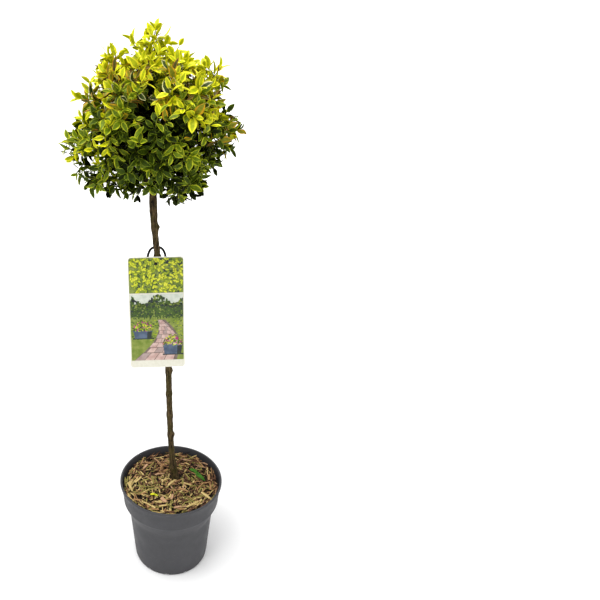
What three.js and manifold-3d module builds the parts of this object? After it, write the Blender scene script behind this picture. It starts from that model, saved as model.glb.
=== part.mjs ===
// Standard lollipop topiary: a variegated evergreen shrub trained as a round head on a clear stem,
// standing in a plastic nursery pot that is topped with wood chips, with a picture label on the stem.
// Millimetres, +Z up. The origin is the middle of the pot's flat underside, and -Y is the front.
import * as THREE from "three";
import { mergeVertices } from "three/addons/utils/BufferGeometryUtils.js";
import Module from "manifold-3d";

const wasm = await Module();
wasm.setup();

const CLEAR = 0.3; // the gap that neighbouring pieces keep
const SMALLEST_EDGE = 0.03; // edges shorter than this are closed up where leaves and twigs join
const UP = new THREE.Vector3(0, 0, 1);

// The pot, as radius and height down its outer wall from the rim to the underside.
const POT = {
  rimRadius: 95,
  height: 172,
  lip: 3,
  collarTopRadius: 93,
  collarFootRadius: 88.8,
  collarFoot: 131,
  shoulderRadius: 78.6,
  shoulderFoot: 106,
  heelRadius: 70.3,
  heel: 8,
  footRadius: 66.5,
  wall: 1.6,
  floor: 2.4,
  sides: 36,
};
const DRAIN = { count: 8, radius: 4.5, ring: 47, sides: 8 };

// What fills the pot: compost, with a layer of wood chips on it.
const FILL = { compostTop: 148, chipsTop: 160, trunkHole: 11.7, sides: 36 };
const CHIPS = { count: 30, length: [16, 30], width: [4.5, 8], height: 3.4, inner: 22, outer: 79, seed: 11 };

// The trunk's middle line as [x, y, z], from the flat cut on the compost to its tip inside the head.
const TRUNK_LINE = [
  [9, 14, FILL.compostTop + CLEAR],
  [4, 13, 190],
  [0, 11, 245],
  [-3, 8, 335],
  [-5, 5, 420],
  [-13, 2, 530],
  [-24, 0, 640],
  [-27, 0, 700],
  [-26, 0, 775],
];
const TRUNK = {
  radius: 5.1,
  tipRadius: 4.7,
  flare: 6,
  flareHeight: 40,
  unionSwell: 1.1,
  unionHeight: 690,
  unionSpread: 22,
  knuckle: 1.0,
  knuckleSpread: 6,
  knuckles: [188, 262, 305, 352, 398, 446, 497, 556, 604, 655],
  sides: 8,
  steps: 44,
};

// The head: an ellipsoid of shoot ends about its heart, which leaves then stand out of.
const HEAD = { heart: [-24, 0, 807], shootEnd: [92, 92, 88], shootSpread: 0.16 };

// Rings of foliage masses. elevation is the way a mass faces, and its bough ends out and up from the heart.
const RINGS = [
  { name: "top", count: 1, elevation: 90, turn: 0, out: 0, up: 30, foot: 775 },
  { name: "upper", count: 4, elevation: 36, turn: 38, out: 38, up: 18, foot: 748 },
  { name: "middle", count: 5, elevation: -4, turn: 18, out: 48, up: -18, foot: 731 },
  { name: "lower", count: 4, elevation: -42, turn: 70, out: 46, up: -54, foot: 713 },
];
const BOUGH = { footRadius: 2.9, tipRadius: 1.9, sides: 5, steps: 4 };

// Twigs in a mass: one stem, limbs that fork from it, and shoots that end at the head's outline.
const TWIG = { stemRadius: 2, limbRadius: 1.7, shootRadius: 1.35, tipRadius: 0.95, steps: 2, perLimb: 3, fork: 0.62 };
const SHOOTS = { count: 76, apart: 0.17, trunkGap: 19, seed: 5 };

// Where shoots pass the round outline: direction in degrees, how far past it as a share, and how wide a patch.
const STRAYS = [
  { azimuth: 0, elevation: 89, share: 0.25, wide: 11 },
  { azimuth: 180, elevation: 55, share: 0.08, wide: 14 },
  { azimuth: 185, elevation: -16, share: 0.28, wide: 12 },
  { azimuth: 205, elevation: -38, share: 0.26, wide: 24 },
  { azimuth: 350, elevation: 38, share: 0.18, wide: 10 },
  { azimuth: 355, elevation: -4, share: 0.17, wide: 12 },
  { azimuth: 315, elevation: -50, share: 0.1, wide: 20 },
  { azimuth: 80, elevation: 30, share: 0.1, wide: 12 },
  { azimuth: 60, elevation: -20, share: 0.12, wide: 14 },
];

// Leaves stand in opposite pairs, each pair a quarter turn from the one below it.
const LEAF = {
  length: [27, 33],
  sizesTried: [1, 0.84, 0.7],
  widthShare: 0.57,
  thickness: 0.8,
  fold: 0.16,
  droop: 0.2,
  sink: 0.3,
  pairsAt: [0.5, 0.8, 0.985],
  lean: [66, 54, 40],
};

// The picture label and the strap that holds it to the trunk.
// The label's foot hangs forward by its tilt, and its right side back by its yaw, both in degrees.
const LABEL = {
  width: 88,
  height: 181,
  thickness: 0.6,
  corner: 5,
  middleX: -24,
  top: 610,
  behind: 7,
  tilt: 10,
  yaw: 3,
  turn: 0.4,
};
const STRAP = { radius: 1.6, halfWidth: 13.5, drop: 9, rise: 12, sides: 6, steps: 20 };

const COLOURS = {
  pot: 0x4b4c4e,
  compost: 0x2e241b,
  chips: 0x8a7148,
  bark: 0x4d4630,
  leaves: 0x9aa52a,
  label: 0xf2f1e4,
  strap: 0x151515,
};

// A repeatable stream of numbers from 0 to 1.
function stream(seed) {
  let state = seed;
  return () => {
    state = (state + 0x6d2b79f5) | 0;
    let t = Math.imul(state ^ (state >>> 15), 1 | state);
    t = (t + Math.imul(t ^ (t >>> 7), 61 | t)) ^ t;
    return ((t ^ (t >>> 14)) >>> 0) / 4294967296;
  };
}

function between(random, [low, high]) {
  return low + (high - low) * random();
}

function direction(azimuth, elevation) {
  const a = THREE.MathUtils.degToRad(azimuth);
  const e = THREE.MathUtils.degToRad(elevation);
  return new THREE.Vector3(Math.cos(a) * Math.cos(e), Math.sin(a) * Math.cos(e), Math.sin(e));
}

function solidOf(geometry) {
  const plain = geometry.clone();
  plain.deleteAttribute("normal");
  plain.deleteAttribute("uv");
  const merged = mergeVertices(plain, 1e-3);
  const mesh = new wasm.Mesh({
    numProp: 3,
    vertProperties: merged.attributes.position.array,
    triVerts: new Uint32Array(merged.index.array),
  });
  return new wasm.Manifold(mesh);
}

function geometryOf(solid) {
  const mesh = solid.getMesh();
  const positions = new Float32Array(mesh.numVert * 3);
  for (let i = 0; i < mesh.numVert; i++) {
    positions.set(mesh.vertProperties.subarray(i * mesh.numProp, i * mesh.numProp + 3), i * 3);
  }
  return new THREE.BufferGeometry()
    .setAttribute("position", new THREE.BufferAttribute(positions, 3))
    .setIndex(new THREE.BufferAttribute(mesh.triVerts, 1));
}

function joined(solids) {
  return solids.reduce((whole, next) => whole.add(next));
}

// True if every edge still has two faces when vertices closer than a step of the grid are merged.
function staysClosed(solid, perMillimetre) {
  const { vertProperties, triVerts, numProp } = solid.getMesh();
  const places = new Map();
  const merged = [];
  for (let i = 0; i < vertProperties.length; i += numProp) {
    const place = [0, 1, 2].map((k) => Math.round(vertProperties[i + k] * perMillimetre)).join();
    if (!places.has(place)) places.set(place, places.size);
    merged.push(places.get(place));
  }
  const edges = new Map();
  for (let i = 0; i < triVerts.length; i += 3) {
    const corners = [merged[triVerts[i]], merged[triVerts[i + 1]], merged[triVerts[i + 2]]];
    if (new Set(corners).size < 3) continue;
    corners.forEach((from, k) => {
      const to = corners[(k + 1) % 3];
      const edge = Math.min(from, to) * merged.length + Math.max(from, to);
      edges.set(edge, (edges.get(edge) ?? 0) + 1);
    });
  }
  return [...edges.values()].every((faces) => faces === 2);
}

function isSound(solid) {
  return staysClosed(solid, 1000) && staysClosed(solid, 10000);
}

// The solid without sealed pockets, and with its shortest edges closed up where that leaves it sound.
function tidied(solid) {
  const outerShell = (bodies) => bodies.reduce((best, body) => (body.volume() > best.volume() ? body : best));
  const shell = outerShell(solid.decompose());
  const simpler = outerShell(solid.simplify(SMALLEST_EDGE).decompose());
  return isSound(simpler) ? simpler : shell;
}

const model = new THREE.Group();

function addNode(name, geometry, colour, roughness) {
  const material = new THREE.MeshStandardMaterial({ color: colour, roughness, metalness: 0 });
  const mesh = new THREE.Mesh(geometry, material);
  mesh.name = name;
  model.add(mesh);
}

// A solid of revolution about +Z from a profile of [radius, height] points.
function turned(profile, sides) {
  const points = profile.map(([r, z]) => new THREE.Vector2(r, z));
  return new THREE.LatheGeometry(points, sides).rotateX(Math.PI / 2);
}

// A cylinder bent along a curve, which tapers from its foot to its tip. radiusAt can shape it further.
function limb(curve, footRadius, tipRadius, sides, steps, radiusAt = null) {
  const geometry = new THREE.CylinderGeometry(1, 1, 1, sides, steps);
  const frames = curve.computeFrenetFrames(steps, false);
  const positions = geometry.attributes.position;
  const vertex = new THREE.Vector3();
  for (let i = 0; i < positions.count; i++) {
    vertex.fromBufferAttribute(positions, i);
    const along = vertex.y + 0.5;
    const row = Math.round(along * steps);
    const centre = curve.getPointAt(Math.min(1, row / steps));
    const radius = radiusAt
      ? radiusAt(centre.z)
      : THREE.MathUtils.lerp(footRadius, tipRadius, along);
    const placed = centre
      .addScaledVector(frames.normals[row], vertex.x * radius)
      .addScaledVector(frames.binormals[row], -vertex.z * radius);
    positions.setXYZ(i, placed.x, placed.y, placed.z);
  }
  return geometry;
}

// The pot's inner wall, as radius at each height, from the mouth down.
function innerWall(gap) {
  const inset = POT.wall + gap;
  return [
    [POT.collarTopRadius - inset, POT.height - POT.lip],
    [POT.collarFootRadius - inset, POT.collarFoot],
    [POT.shoulderRadius - inset, POT.shoulderFoot],
    [POT.heelRadius - inset, POT.heel],
    [POT.footRadius - inset, POT.floor + gap],
  ];
}

function makePot() {
  const outer = [
    [0, 0],
    [POT.footRadius, 0],
    [POT.heelRadius, POT.heel],
    [POT.shoulderRadius, POT.shoulderFoot],
    [POT.collarFootRadius, POT.collarFoot],
    [POT.collarTopRadius, POT.height - POT.lip - 1],
    [POT.rimRadius, POT.height - POT.lip],
    [POT.rimRadius, POT.height - 0.6],
    [POT.rimRadius - 0.8, POT.height],
    [POT.collarTopRadius - POT.wall, POT.height],
  ];
  const profile = [...outer, ...innerWall(0), [0, POT.floor]];
  const holes = [];
  for (let i = 0; i < DRAIN.count; i++) {
    const a = ((i + 0.5) * 2 * Math.PI) / DRAIN.count;
    const hole = new THREE.CylinderGeometry(DRAIN.radius, DRAIN.radius, POT.floor * 3, DRAIN.sides)
      .rotateX(Math.PI / 2)
      .translate(DRAIN.ring * Math.cos(a), DRAIN.ring * Math.sin(a), POT.floor / 2);
    holes.push(solidOf(hole));
  }
  const shell = solidOf(turned(profile, POT.sides));
  addNode("pot", geometryOf(shell.subtract(joined(holes))), COLOURS.pot, 0.55);
}

// The inner wall's radius at a height, less a gap.
function innerRadius(z, gap) {
  const wall = innerWall(gap);
  const i = wall.findIndex(([, height]) => height <= z);
  const [rHigh, zHigh] = wall[i - 1];
  const [rLow, zLow] = wall[i];
  return THREE.MathUtils.mapLinear(z, zLow, zHigh, rLow, rHigh);
}

function makeCompost() {
  const wall = innerWall(CLEAR).filter(([, z]) => z < FILL.compostTop).reverse();
  const top = [innerRadius(FILL.compostTop, CLEAR), FILL.compostTop];
  const profile = [[0, wall[0][1]], ...wall, top, [0, FILL.compostTop]];
  addNode("root_ball", turned(profile, FILL.sides), COLOURS.compost, 0.95);
}

const trunkCurve = new THREE.CatmullRomCurve3(TRUNK_LINE.map((p) => new THREE.Vector3(...p)), false, "centripetal");

// The trunk's radius at a height: root flare, knuckles where leaves once stood, and the graft's swelling.
function trunkRadius(z) {
  const foot = TRUNK_LINE[0][2];
  const tip = TRUNK_LINE[TRUNK_LINE.length - 1][2];
  const bump = (at, spread) => Math.exp(-(((z - at) / spread) ** 2));
  const taper = THREE.MathUtils.mapLinear(z, foot, tip, TRUNK.radius, TRUNK.tipRadius);
  const flare = TRUNK.flare * Math.exp(-(z - foot) / (TRUNK.flareHeight / 2));
  const knuckles = TRUNK.knuckles.reduce((sum, at) => sum + bump(at, TRUNK.knuckleSpread), 0);
  return taper + flare + TRUNK.knuckle * knuckles + TRUNK.unionSwell * bump(TRUNK.unionHeight, TRUNK.unionSpread);
}

// The space round the trunk that chips and boughs are cut back from, so that each fits the trunk.
const trunkSleeve = solidOf(
  limb(trunkCurve, 1, 1, TRUNK.sides, TRUNK.steps, (z) => trunkRadius(z) + CLEAR),
);

// The layer of chips: a ring that fills the pot round the trunk, with single chips fused on its top.
function makeChips() {
  const foot = FILL.compostTop + CLEAR;
  const profile = [
    [0, foot],
    [innerRadius(foot, CLEAR), foot],
    [innerRadius(FILL.chipsTop - 4, CLEAR + 0.4), FILL.chipsTop - 4],
    [innerRadius(FILL.chipsTop, 9), FILL.chipsTop],
    [0, FILL.chipsTop - 2],
  ];
  const random = stream(CHIPS.seed);
  const solids = [solidOf(turned(profile, FILL.sides))];
  const golden = Math.PI * (3 - Math.sqrt(5));
  for (let i = 0; i < CHIPS.count; i++) {
    const share = (i + 0.5) / CHIPS.count;
    const ring = Math.sqrt(THREE.MathUtils.lerp(CHIPS.inner ** 2, CHIPS.outer ** 2, share));
    const length = between(random, CHIPS.length);
    const chip = new THREE.BoxGeometry(length, between(random, CHIPS.width), CHIPS.height)
      .rotateY((random() - 0.5) * 0.24)
      .rotateZ(i * golden + Math.PI / 2 + (random() - 0.5) * 1.4)
      .translate(ring * Math.cos(i * golden), ring * Math.sin(i * golden), FILL.chipsTop + 0.4);
    const corners = chip.attributes.position;
    let reach = 0;
    for (let k = 0; k < corners.count; k++) {
      reach = Math.max(reach, Math.hypot(corners.getX(k), corners.getY(k)));
    }
    if (reach < innerRadius(FILL.chipsTop, 2)) solids.push(solidOf(chip));
  }
  const [x, y] = TRUNK_LINE[0];
  const foothold = new THREE.CylinderGeometry(FILL.trunkHole, FILL.trunkHole, 8, 10).rotateX(Math.PI / 2);
  const hole = solidOf(foothold.translate(x, y, foot)).add(trunkSleeve);
  addNode("wood_chips", geometryOf(joined(solids).subtract(hole)), COLOURS.chips, 0.9);
}

function makeTrunk() {
  const bark = limb(trunkCurve, 1, 1, TRUNK.sides, TRUNK.steps, trunkRadius);
  const cut = new THREE.BoxGeometry(60, 60, 20).translate(0, 0, FILL.compostTop + CLEAR - 10);
  const ground = solidOf(cut);
  addNode("trunk", geometryOf(solidOf(bark).subtract(ground)), COLOURS.bark, 0.9);
}

function trunkPointAt(z) {
  let low = 0;
  let high = 1;
  for (let i = 0; i < 30; i++) {
    const middle = (low + high) / 2;
    if (trunkCurve.getPointAt(middle).z < z) low = middle;
    else high = middle;
  }
  return trunkCurve.getPointAt(low);
}

// One entry for each foliage mass: its name, the way it faces, and its bough's curve.
function layOutMasses() {
  const heart = new THREE.Vector3(...HEAD.heart);
  const masses = [];
  for (const ring of RINGS) {
    for (let i = 0; i < ring.count; i++) {
      const azimuth = ring.turn + (360 * i) / ring.count;
      const out = direction(azimuth, 0);
      const tip = heart.clone().addScaledVector(out, ring.out).addScaledVector(UP, ring.up);
      const foot = trunkPointAt(ring.foot + (i % 2) * 7 - (ring.count > 1 ? 3 : 0));
      if (ring.count === 1) foot.z += CLEAR;
      const rise = ring.count === 1 ? 0.5 : 0.25;
      const elbow = foot.clone().lerp(tip, 0.5).addScaledVector(UP, (rise - 0.25) * 20 - 4);
      masses.push({
        name: ring.count === 1 ? ring.name : `${ring.name}_${i + 1}`,
        faces: direction(azimuth, ring.elevation),
        curve: new THREE.QuadraticBezierCurve3(foot, elbow, tip),
        onTip: ring.count === 1,
      });
    }
  }
  return masses;
}

function makeBough(mass) {
  const solid = solidOf(limb(mass.curve, BOUGH.footRadius, BOUGH.tipRadius, BOUGH.sides, BOUGH.steps));
  const fitted = mass.onTip ? solid : solid.subtract(trunkSleeve);
  addNode(`bough_${mass.name}`, geometryOf(fitted), COLOURS.bark, 0.9);
}

// How far shoots reach from the heart in a direction, at a share of the round outline there.
function shootReach(way, share) {
  const [a, b, c] = HEAD.shootEnd;
  return share / Math.hypot(way.x / a, way.y / b, way.z / c);
}

// How much the strays round a direction push the outline out there.
function bulge(way) {
  return STRAYS.reduce((sum, stray) => {
    const apart = THREE.MathUtils.radToDeg(way.angleTo(direction(stray.azimuth, stray.elevation)));
    return sum + stray.share * Math.exp(-((apart / stray.wide) ** 2));
  }, 0);
}

// Shoot ends: the strays, then ones spread evenly over the head. Each goes to the mass that faces it most.
function dealOutShoots(masses) {
  const random = stream(SHOOTS.seed);
  const golden = Math.PI * (3 - Math.sqrt(5));
  const shoots = STRAYS.map((stray) => {
    const way = direction(stray.azimuth, stray.elevation);
    return { way, reach: shootReach(way, 1 + stray.share), spin: random() * Math.PI };
  });
  for (let i = 0; i < SHOOTS.count; i++) {
    const z = 1 - (2 * (i + 0.5)) / SHOOTS.count;
    const ring = Math.sqrt(1 - z * z);
    const turn = i * golden + (random() - 0.5) * 0.2;
    const way = new THREE.Vector3(ring * Math.cos(turn), ring * Math.sin(turn), z);
    const reach = shootReach(way, 1 - HEAD.shootSpread * random() + bulge(way));
    const spin = random() * Math.PI;
    const nearStray = shoots.slice(0, STRAYS.length).some((stray) => stray.way.angleTo(way) < SHOOTS.apart);
    if (nearStray || THREE.MathUtils.radToDeg(Math.acos(-z)) < SHOOTS.trunkGap) continue;
    shoots.push({ way, reach, spin });
  }
  for (const mass of masses) mass.shoots = [];
  for (const shoot of shoots) {
    const owner = masses.reduce((best, mass) => (mass.faces.dot(shoot.way) > best.faces.dot(shoot.way) ? mass : best));
    owner.shoots.push(shoot);
  }
}

// True if a shape is in the mass's own wedge of the head and clear of the trunk and all boughs.
function hasRoom(shape, mass, masses, limbs) {
  const heart = new THREE.Vector3(...HEAD.heart);
  const positions = shape.attributes.position;
  const offset = new THREE.Vector3();
  for (let i = 0; i < positions.count; i++) {
    offset.fromBufferAttribute(positions, i).sub(heart);
    for (const other of masses) {
      if (other === mass) continue;
      const plane = mass.faces.clone().sub(other.faces).normalize();
      if (offset.dot(plane) < CLEAR / 2) return false;
    }
  }
  return limbs.intersect(solidOf(shape)).isEmpty();
}

// A leaf of eight faces with a thick middle, its root at the origin, along +X with +Z its upper face.
function leafShape(length) {
  const geometry = new THREE.SphereGeometry(1, 4, 2);
  const positions = geometry.attributes.position;
  for (let i = 0; i < positions.count; i++) {
    const along = (positions.getX(i) + 1) / 2;
    const across = positions.getZ(i) * LEAF.widthShare * 0.5 * length;
    const bend = LEAF.fold * Math.abs(across) * 2 - LEAF.droop * length * along * along;
    const height = (positions.getY(i) * LEAF.thickness) / 2 + bend;
    positions.setXYZ(i, along * (length + LEAF.sink) - LEAF.sink, -across, height);
  }
  return geometry;
}

// Places a leaf at a node on a shoot. It leans out from the shoot towards side, upper face to the shoot's tip.
function placedLeaf(at, axis, side, lean, length) {
  const angle = THREE.MathUtils.degToRad(lean);
  const along = axis.clone().multiplyScalar(Math.cos(angle)).addScaledVector(side, Math.sin(angle));
  const face = axis.clone().multiplyScalar(Math.sin(angle)).addScaledVector(side, -Math.cos(angle));
  const across = face.clone().cross(along);
  const frame = new THREE.Matrix4().makeBasis(along, across, face).setPosition(at);
  return leafShape(length).applyMatrix4(frame);
}

// The point and heading at a share of a limb's length, on its straight steps rather than on its curve.
function onLimb(curve, share, steps) {
  const step = Math.min(steps - 1, Math.floor(share * steps));
  const from = curve.getPointAt(step / steps);
  const to = curve.getPointAt((step + 1) / steps);
  return { at: from.clone().lerp(to, share * steps - step), axis: to.clone().sub(from).normalize() };
}

// The leaves of one shoot, as solids: those that have room and cross nothing that is taken already.
function leavesOn(curve, spin, random, fits, taken) {
  const made = [];
  let occupied = taken;
  LEAF.pairsAt.forEach((t, pair) => {
    const { at, axis } = onLimb(curve, t, TWIG.steps);
    const level = new THREE.Vector3().crossVectors(axis, Math.abs(axis.z) > 0.9 ? new THREE.Vector3(1, 0, 0) : UP);
    const quarter = spin + (pair * Math.PI) / 2;
    const pairLeaves = [];
    for (const half of [0, Math.PI]) {
      const side = level.clone().normalize().applyAxisAngle(axis, quarter + half);
      const length = between(random, LEAF.length);
      const lean = LEAF.lean[pair] + (random() - 0.5) * 16;
      for (const share of LEAF.sizesTried) {
        const leaf = placedLeaf(at, axis, side, lean, length * share);
        if (!fits(leaf)) continue;
        const solid = solidOf(leaf);
        if (!occupied.intersect(solid).isEmpty()) continue;
        pairLeaves.push(solid);
        break;
      }
    }
    if (pairLeaves.length > 0) occupied = occupied.add(joined(pairLeaves));
    made.push(...pairLeaves);
  });
  return made;
}

// A curve from one point to another that bows towards a heading.
function sweepTo(start, end, heading, share) {
  const middle = start.clone().lerp(end, 0.5).addScaledVector(heading, start.distanceTo(end) * share);
  return new THREE.QuadraticBezierCurve3(start, middle, end);
}

// One mass: a stem that meets the bough's tip, limbs that fork from it, and leafy shoots on the limbs.
function makeFoliage(mass, masses, limbs) {
  const heart = new THREE.Vector3(...HEAD.heart);
  const fits = (shape) => hasRoom(shape, mass, masses, limbs);
  const random = stream(SHOOTS.seed + masses.indexOf(mass) * 101 + 1);
  const tip = mass.curve.getPointAt(1);
  const heading = mass.curve.getTangentAt(1);
  const root = tip.clone().addScaledVector(heading, CLEAR);
  const stemEnd = root.clone().addScaledVector(heading, 9);
  let whole = solidOf(limb(new THREE.LineCurve3(root, stemEnd), TWIG.stemRadius, TWIG.stemRadius, 5, 1));
  const level = new THREE.Vector3().crossVectors(mass.faces, new THREE.Vector3(0.31, 0.87, 0.12)).normalize();
  const upright = new THREE.Vector3().crossVectors(level, mass.faces);
  const bearing = (shoot) => Math.atan2(shoot.way.dot(upright), shoot.way.dot(level));
  const shoots = [...mass.shoots].sort((p, q) => bearing(p) - bearing(q));
  for (let i = 0; i < shoots.length; i += TWIG.perLimb) {
    const group = shoots.slice(i, i + TWIG.perLimb);
    const middle = group.reduce((sum, s) => sum.addScaledVector(s.way, s.reach / group.length), new THREE.Vector3());
    const end = heart.clone().addScaledVector(middle, TWIG.fork).lerp(stemEnd, 0.15);
    const limbCurve = sweepTo(root.clone().lerp(stemEnd, 0.8), end, heading, 0.14);
    const fork = limb(limbCurve, TWIG.limbRadius, TWIG.shootRadius, 3, TWIG.steps);
    if (!fits(fork)) continue;
    whole = whole.add(solidOf(fork));
    for (const shoot of group) {
      const start = onLimb(limbCurve, 0.94, TWIG.steps).at;
      const end = heart.clone().addScaledVector(shoot.way, shoot.reach);
      const curve = sweepTo(start, end, limbCurve.getTangentAt(1), 0.12);
      const twig = limb(curve, TWIG.shootRadius, TWIG.tipRadius, 3, TWIG.steps);
      if (!fits(twig)) continue;
      const leaves = leavesOn(curve, shoot.spin, random, fits, whole);
      const bare = whole.add(solidOf(twig));
      if (!isSound(bare)) continue;
      whole = leaves.reduce((grown, leaf) => {
        const next = grown.add(leaf);
        return isSound(next) ? next : grown;
      }, bare);
    }
  }
  addNode(`foliage_${mass.name}`, geometryOf(tidied(whole)), COLOURS.leaves, 0.6);
}

function makeHead() {
  const masses = layOutMasses();
  dealOutShoots(masses);
  for (const mass of masses) makeBough(mass);
  const { footRadius, tipRadius, sides, steps } = BOUGH;
  const sleeves = masses.map((mass) => limb(mass.curve, footRadius + CLEAR * 1.3, tipRadius + CLEAR * 1.3, sides, steps));
  const limbs = joined([trunkSleeve, ...sleeves.map(solidOf)]);
  for (const mass of masses) makeFoliage(mass, masses, limbs);
}

// A rounded card that hangs upright in front of the trunk.
// The label's own frame: X across, Y up and Z out of its face, from the middle of its back's top edge.
function labelFrame() {
  const rad = THREE.MathUtils.degToRad;
  return new THREE.Matrix4()
    .makeTranslation(LABEL.middleX, -LABEL.behind, LABEL.top)
    .multiply(new THREE.Matrix4().makeRotationZ(rad(LABEL.yaw)))
    .multiply(new THREE.Matrix4().makeRotationX(rad(90 - LABEL.tilt)))
    .multiply(new THREE.Matrix4().makeRotationZ(rad(LABEL.turn)));
}

function makeLabel() {
  const { width: w, height: h, corner: c } = LABEL;
  const card = new THREE.Shape();
  card.moveTo(-w / 2 + c, -h);
  card.lineTo(w / 2 - c, -h);
  card.absarc(w / 2 - c, -h + c, c, -Math.PI / 2, 0, false);
  card.lineTo(w / 2, -c);
  card.absarc(w / 2 - c, -c, c, 0, Math.PI / 2, false);
  card.lineTo(-w / 2 + c, 0);
  card.absarc(-w / 2 + c, -c, c, Math.PI / 2, Math.PI, false);
  card.lineTo(-w / 2, -h + c);
  card.absarc(-w / 2 + c, -h + c, c, Math.PI, 1.5 * Math.PI, false);
  const geometry = new THREE.ExtrudeGeometry(card, { depth: LABEL.thickness, bevelEnabled: false, curveSegments: 4 });
  addNode("picture_label", geometry.applyMatrix4(labelFrame()), COLOURS.label, 0.35);
}

// The strap: from behind the card on one side, up and round the back of the trunk, and down again.
function makeStrap() {
  const trunk = trunkPointAt(LABEL.top + STRAP.rise);
  const frame = labelFrame();
  const aside = trunk.x - LABEL.middleX;
  const half = (side) => [
    new THREE.Vector3(aside + side * STRAP.halfWidth, -STRAP.drop, -CLEAR).applyMatrix4(frame),
    new THREE.Vector3(aside + side * (STRAP.halfWidth + 0.6), -2, -CLEAR - 2).applyMatrix4(frame),
    new THREE.Vector3(trunk.x + side * (STRAP.halfWidth - 2), -2, LABEL.top + STRAP.rise * 0.62),
    new THREE.Vector3(trunk.x + side * (STRAP.halfWidth - 6.6), 4.6, LABEL.top + STRAP.rise * 0.95),
  ];
  const back = new THREE.Vector3(trunk.x, trunk.y + trunkRadius(trunk.z) + STRAP.radius + CLEAR, trunk.z);
  const points = [...half(-1), back, ...half(1).reverse()];
  const section = new THREE.Shape();
  for (let i = 0; i < STRAP.sides; i++) {
    const a = (i * 2 * Math.PI) / STRAP.sides;
    const [x, y] = [STRAP.radius * Math.cos(a), STRAP.radius * Math.sin(a)];
    if (i === 0) section.moveTo(x, y);
    else section.lineTo(x, y);
  }
  const path = new THREE.CatmullRomCurve3(points, false, "centripetal");
  const tube = new THREE.ExtrudeGeometry(section, { steps: STRAP.steps, extrudePath: path, bevelEnabled: false });
  const card = new THREE.BoxGeometry(LABEL.width, LABEL.height, 12)
    .translate(0, -LABEL.height / 2, 6 - CLEAR)
    .applyMatrix4(frame);
  addNode("label_strap", geometryOf(solidOf(tube).subtract(solidOf(card))), COLOURS.strap, 0.5);
}

makePot();
makeCompost();
makeChips();
makeTrunk();
makeHead();
makeLabel();
makeStrap();

export default model;
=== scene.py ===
"""Dresses the potted lollipop standard: pot, wood chips, bark, twigs, variegated leaves, label and studio."""

import logging
import math
from dataclasses import dataclass, field
from enum import IntEnum
from typing import Callable, Iterable, Sequence

import bmesh
import bpy
import numpy as np
from mathutils import Matrix, Vector, noise


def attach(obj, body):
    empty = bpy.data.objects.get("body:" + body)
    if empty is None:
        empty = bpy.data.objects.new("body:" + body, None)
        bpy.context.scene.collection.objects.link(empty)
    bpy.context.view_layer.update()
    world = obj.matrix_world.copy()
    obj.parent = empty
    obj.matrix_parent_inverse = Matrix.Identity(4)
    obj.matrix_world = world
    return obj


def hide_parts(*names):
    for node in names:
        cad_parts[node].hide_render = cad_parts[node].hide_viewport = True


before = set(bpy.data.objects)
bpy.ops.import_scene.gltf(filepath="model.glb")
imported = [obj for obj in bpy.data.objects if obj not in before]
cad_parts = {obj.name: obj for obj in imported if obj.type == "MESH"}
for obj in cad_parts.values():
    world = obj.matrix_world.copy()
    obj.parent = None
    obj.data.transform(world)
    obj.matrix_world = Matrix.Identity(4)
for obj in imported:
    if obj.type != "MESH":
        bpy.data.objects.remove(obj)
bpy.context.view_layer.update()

LOG = logging.getLogger("lollipop_standard")
MM = 0.001
UP = Vector((0.0, 0.0, 1.0))
GOLDEN = math.pi * (3 - math.sqrt(5))
BMesh, BMVert, BMEdge = bmesh.types.BMesh, bmesh.types.BMVert, bmesh.types.BMEdge
Mesh, Material, Socket = bpy.types.Mesh, bpy.types.Material, bpy.types.NodeSocket


def from_hex(code: str) -> tuple[float, ...]:
    """Turns a colour as a painter mixes it on screen into the linear values that the shader takes.

    Args:
        code: Six hexadecimal digits, red, green and blue.

    Returns:
        Red, green and blue from 0 to 1, linear, and 1 for opaque.
    """
    parts = [int(code[i : i + 2], 16) / 255 for i in (0, 2, 4)]
    return (*[c / 12.92 if c <= 0.04045 else ((c + 0.055) / 1.055) ** 2.4 for c in parts], 1.0)


def heading(azimuth: float, elevation: float) -> Vector:
    """Gives the direction with a bearing and a height above the level.

    Args:
        azimuth: Bearing from +X towards +Y, in degrees.
        elevation: Height above the level, in degrees.

    Returns:
        The direction, of length 1.
    """
    a, e = math.radians(azimuth), math.radians(elevation)
    return Vector((math.cos(a) * math.cos(e), math.sin(a) * math.cos(e), math.sin(e)))


def aside(axis: Vector, turn: float) -> Vector:
    """Gives a direction at a right angle to an axis.

    Args:
        axis: The axis.
        turn: How far it is turned round the axis, in radians.

    Returns:
        The direction, of length 1.
    """
    square = axis.cross(UP if abs(axis.z) < 0.9 else Vector((1, 0, 0))).normalized()
    return Matrix.Rotation(turn, 3, axis) @ square


def turn_from(place: Vector, bearing: float) -> float:
    """Gives how far round the Z axis a place lies from a bearing, in radians."""
    return (math.atan2(place.y, place.x) - bearing + math.pi) % (2 * math.pi) - math.pi


def put_in_scene(name: str, data: bpy.types.ID) -> bpy.types.Object:
    """Makes an object and puts it in the scene.

    Args:
        name: Its name.
        data: Its mesh, camera or light.

    Returns:
        The object.
    """
    thing = bpy.data.objects.new(name, data)
    bpy.context.scene.collection.objects.link(thing)
    return thing


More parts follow.
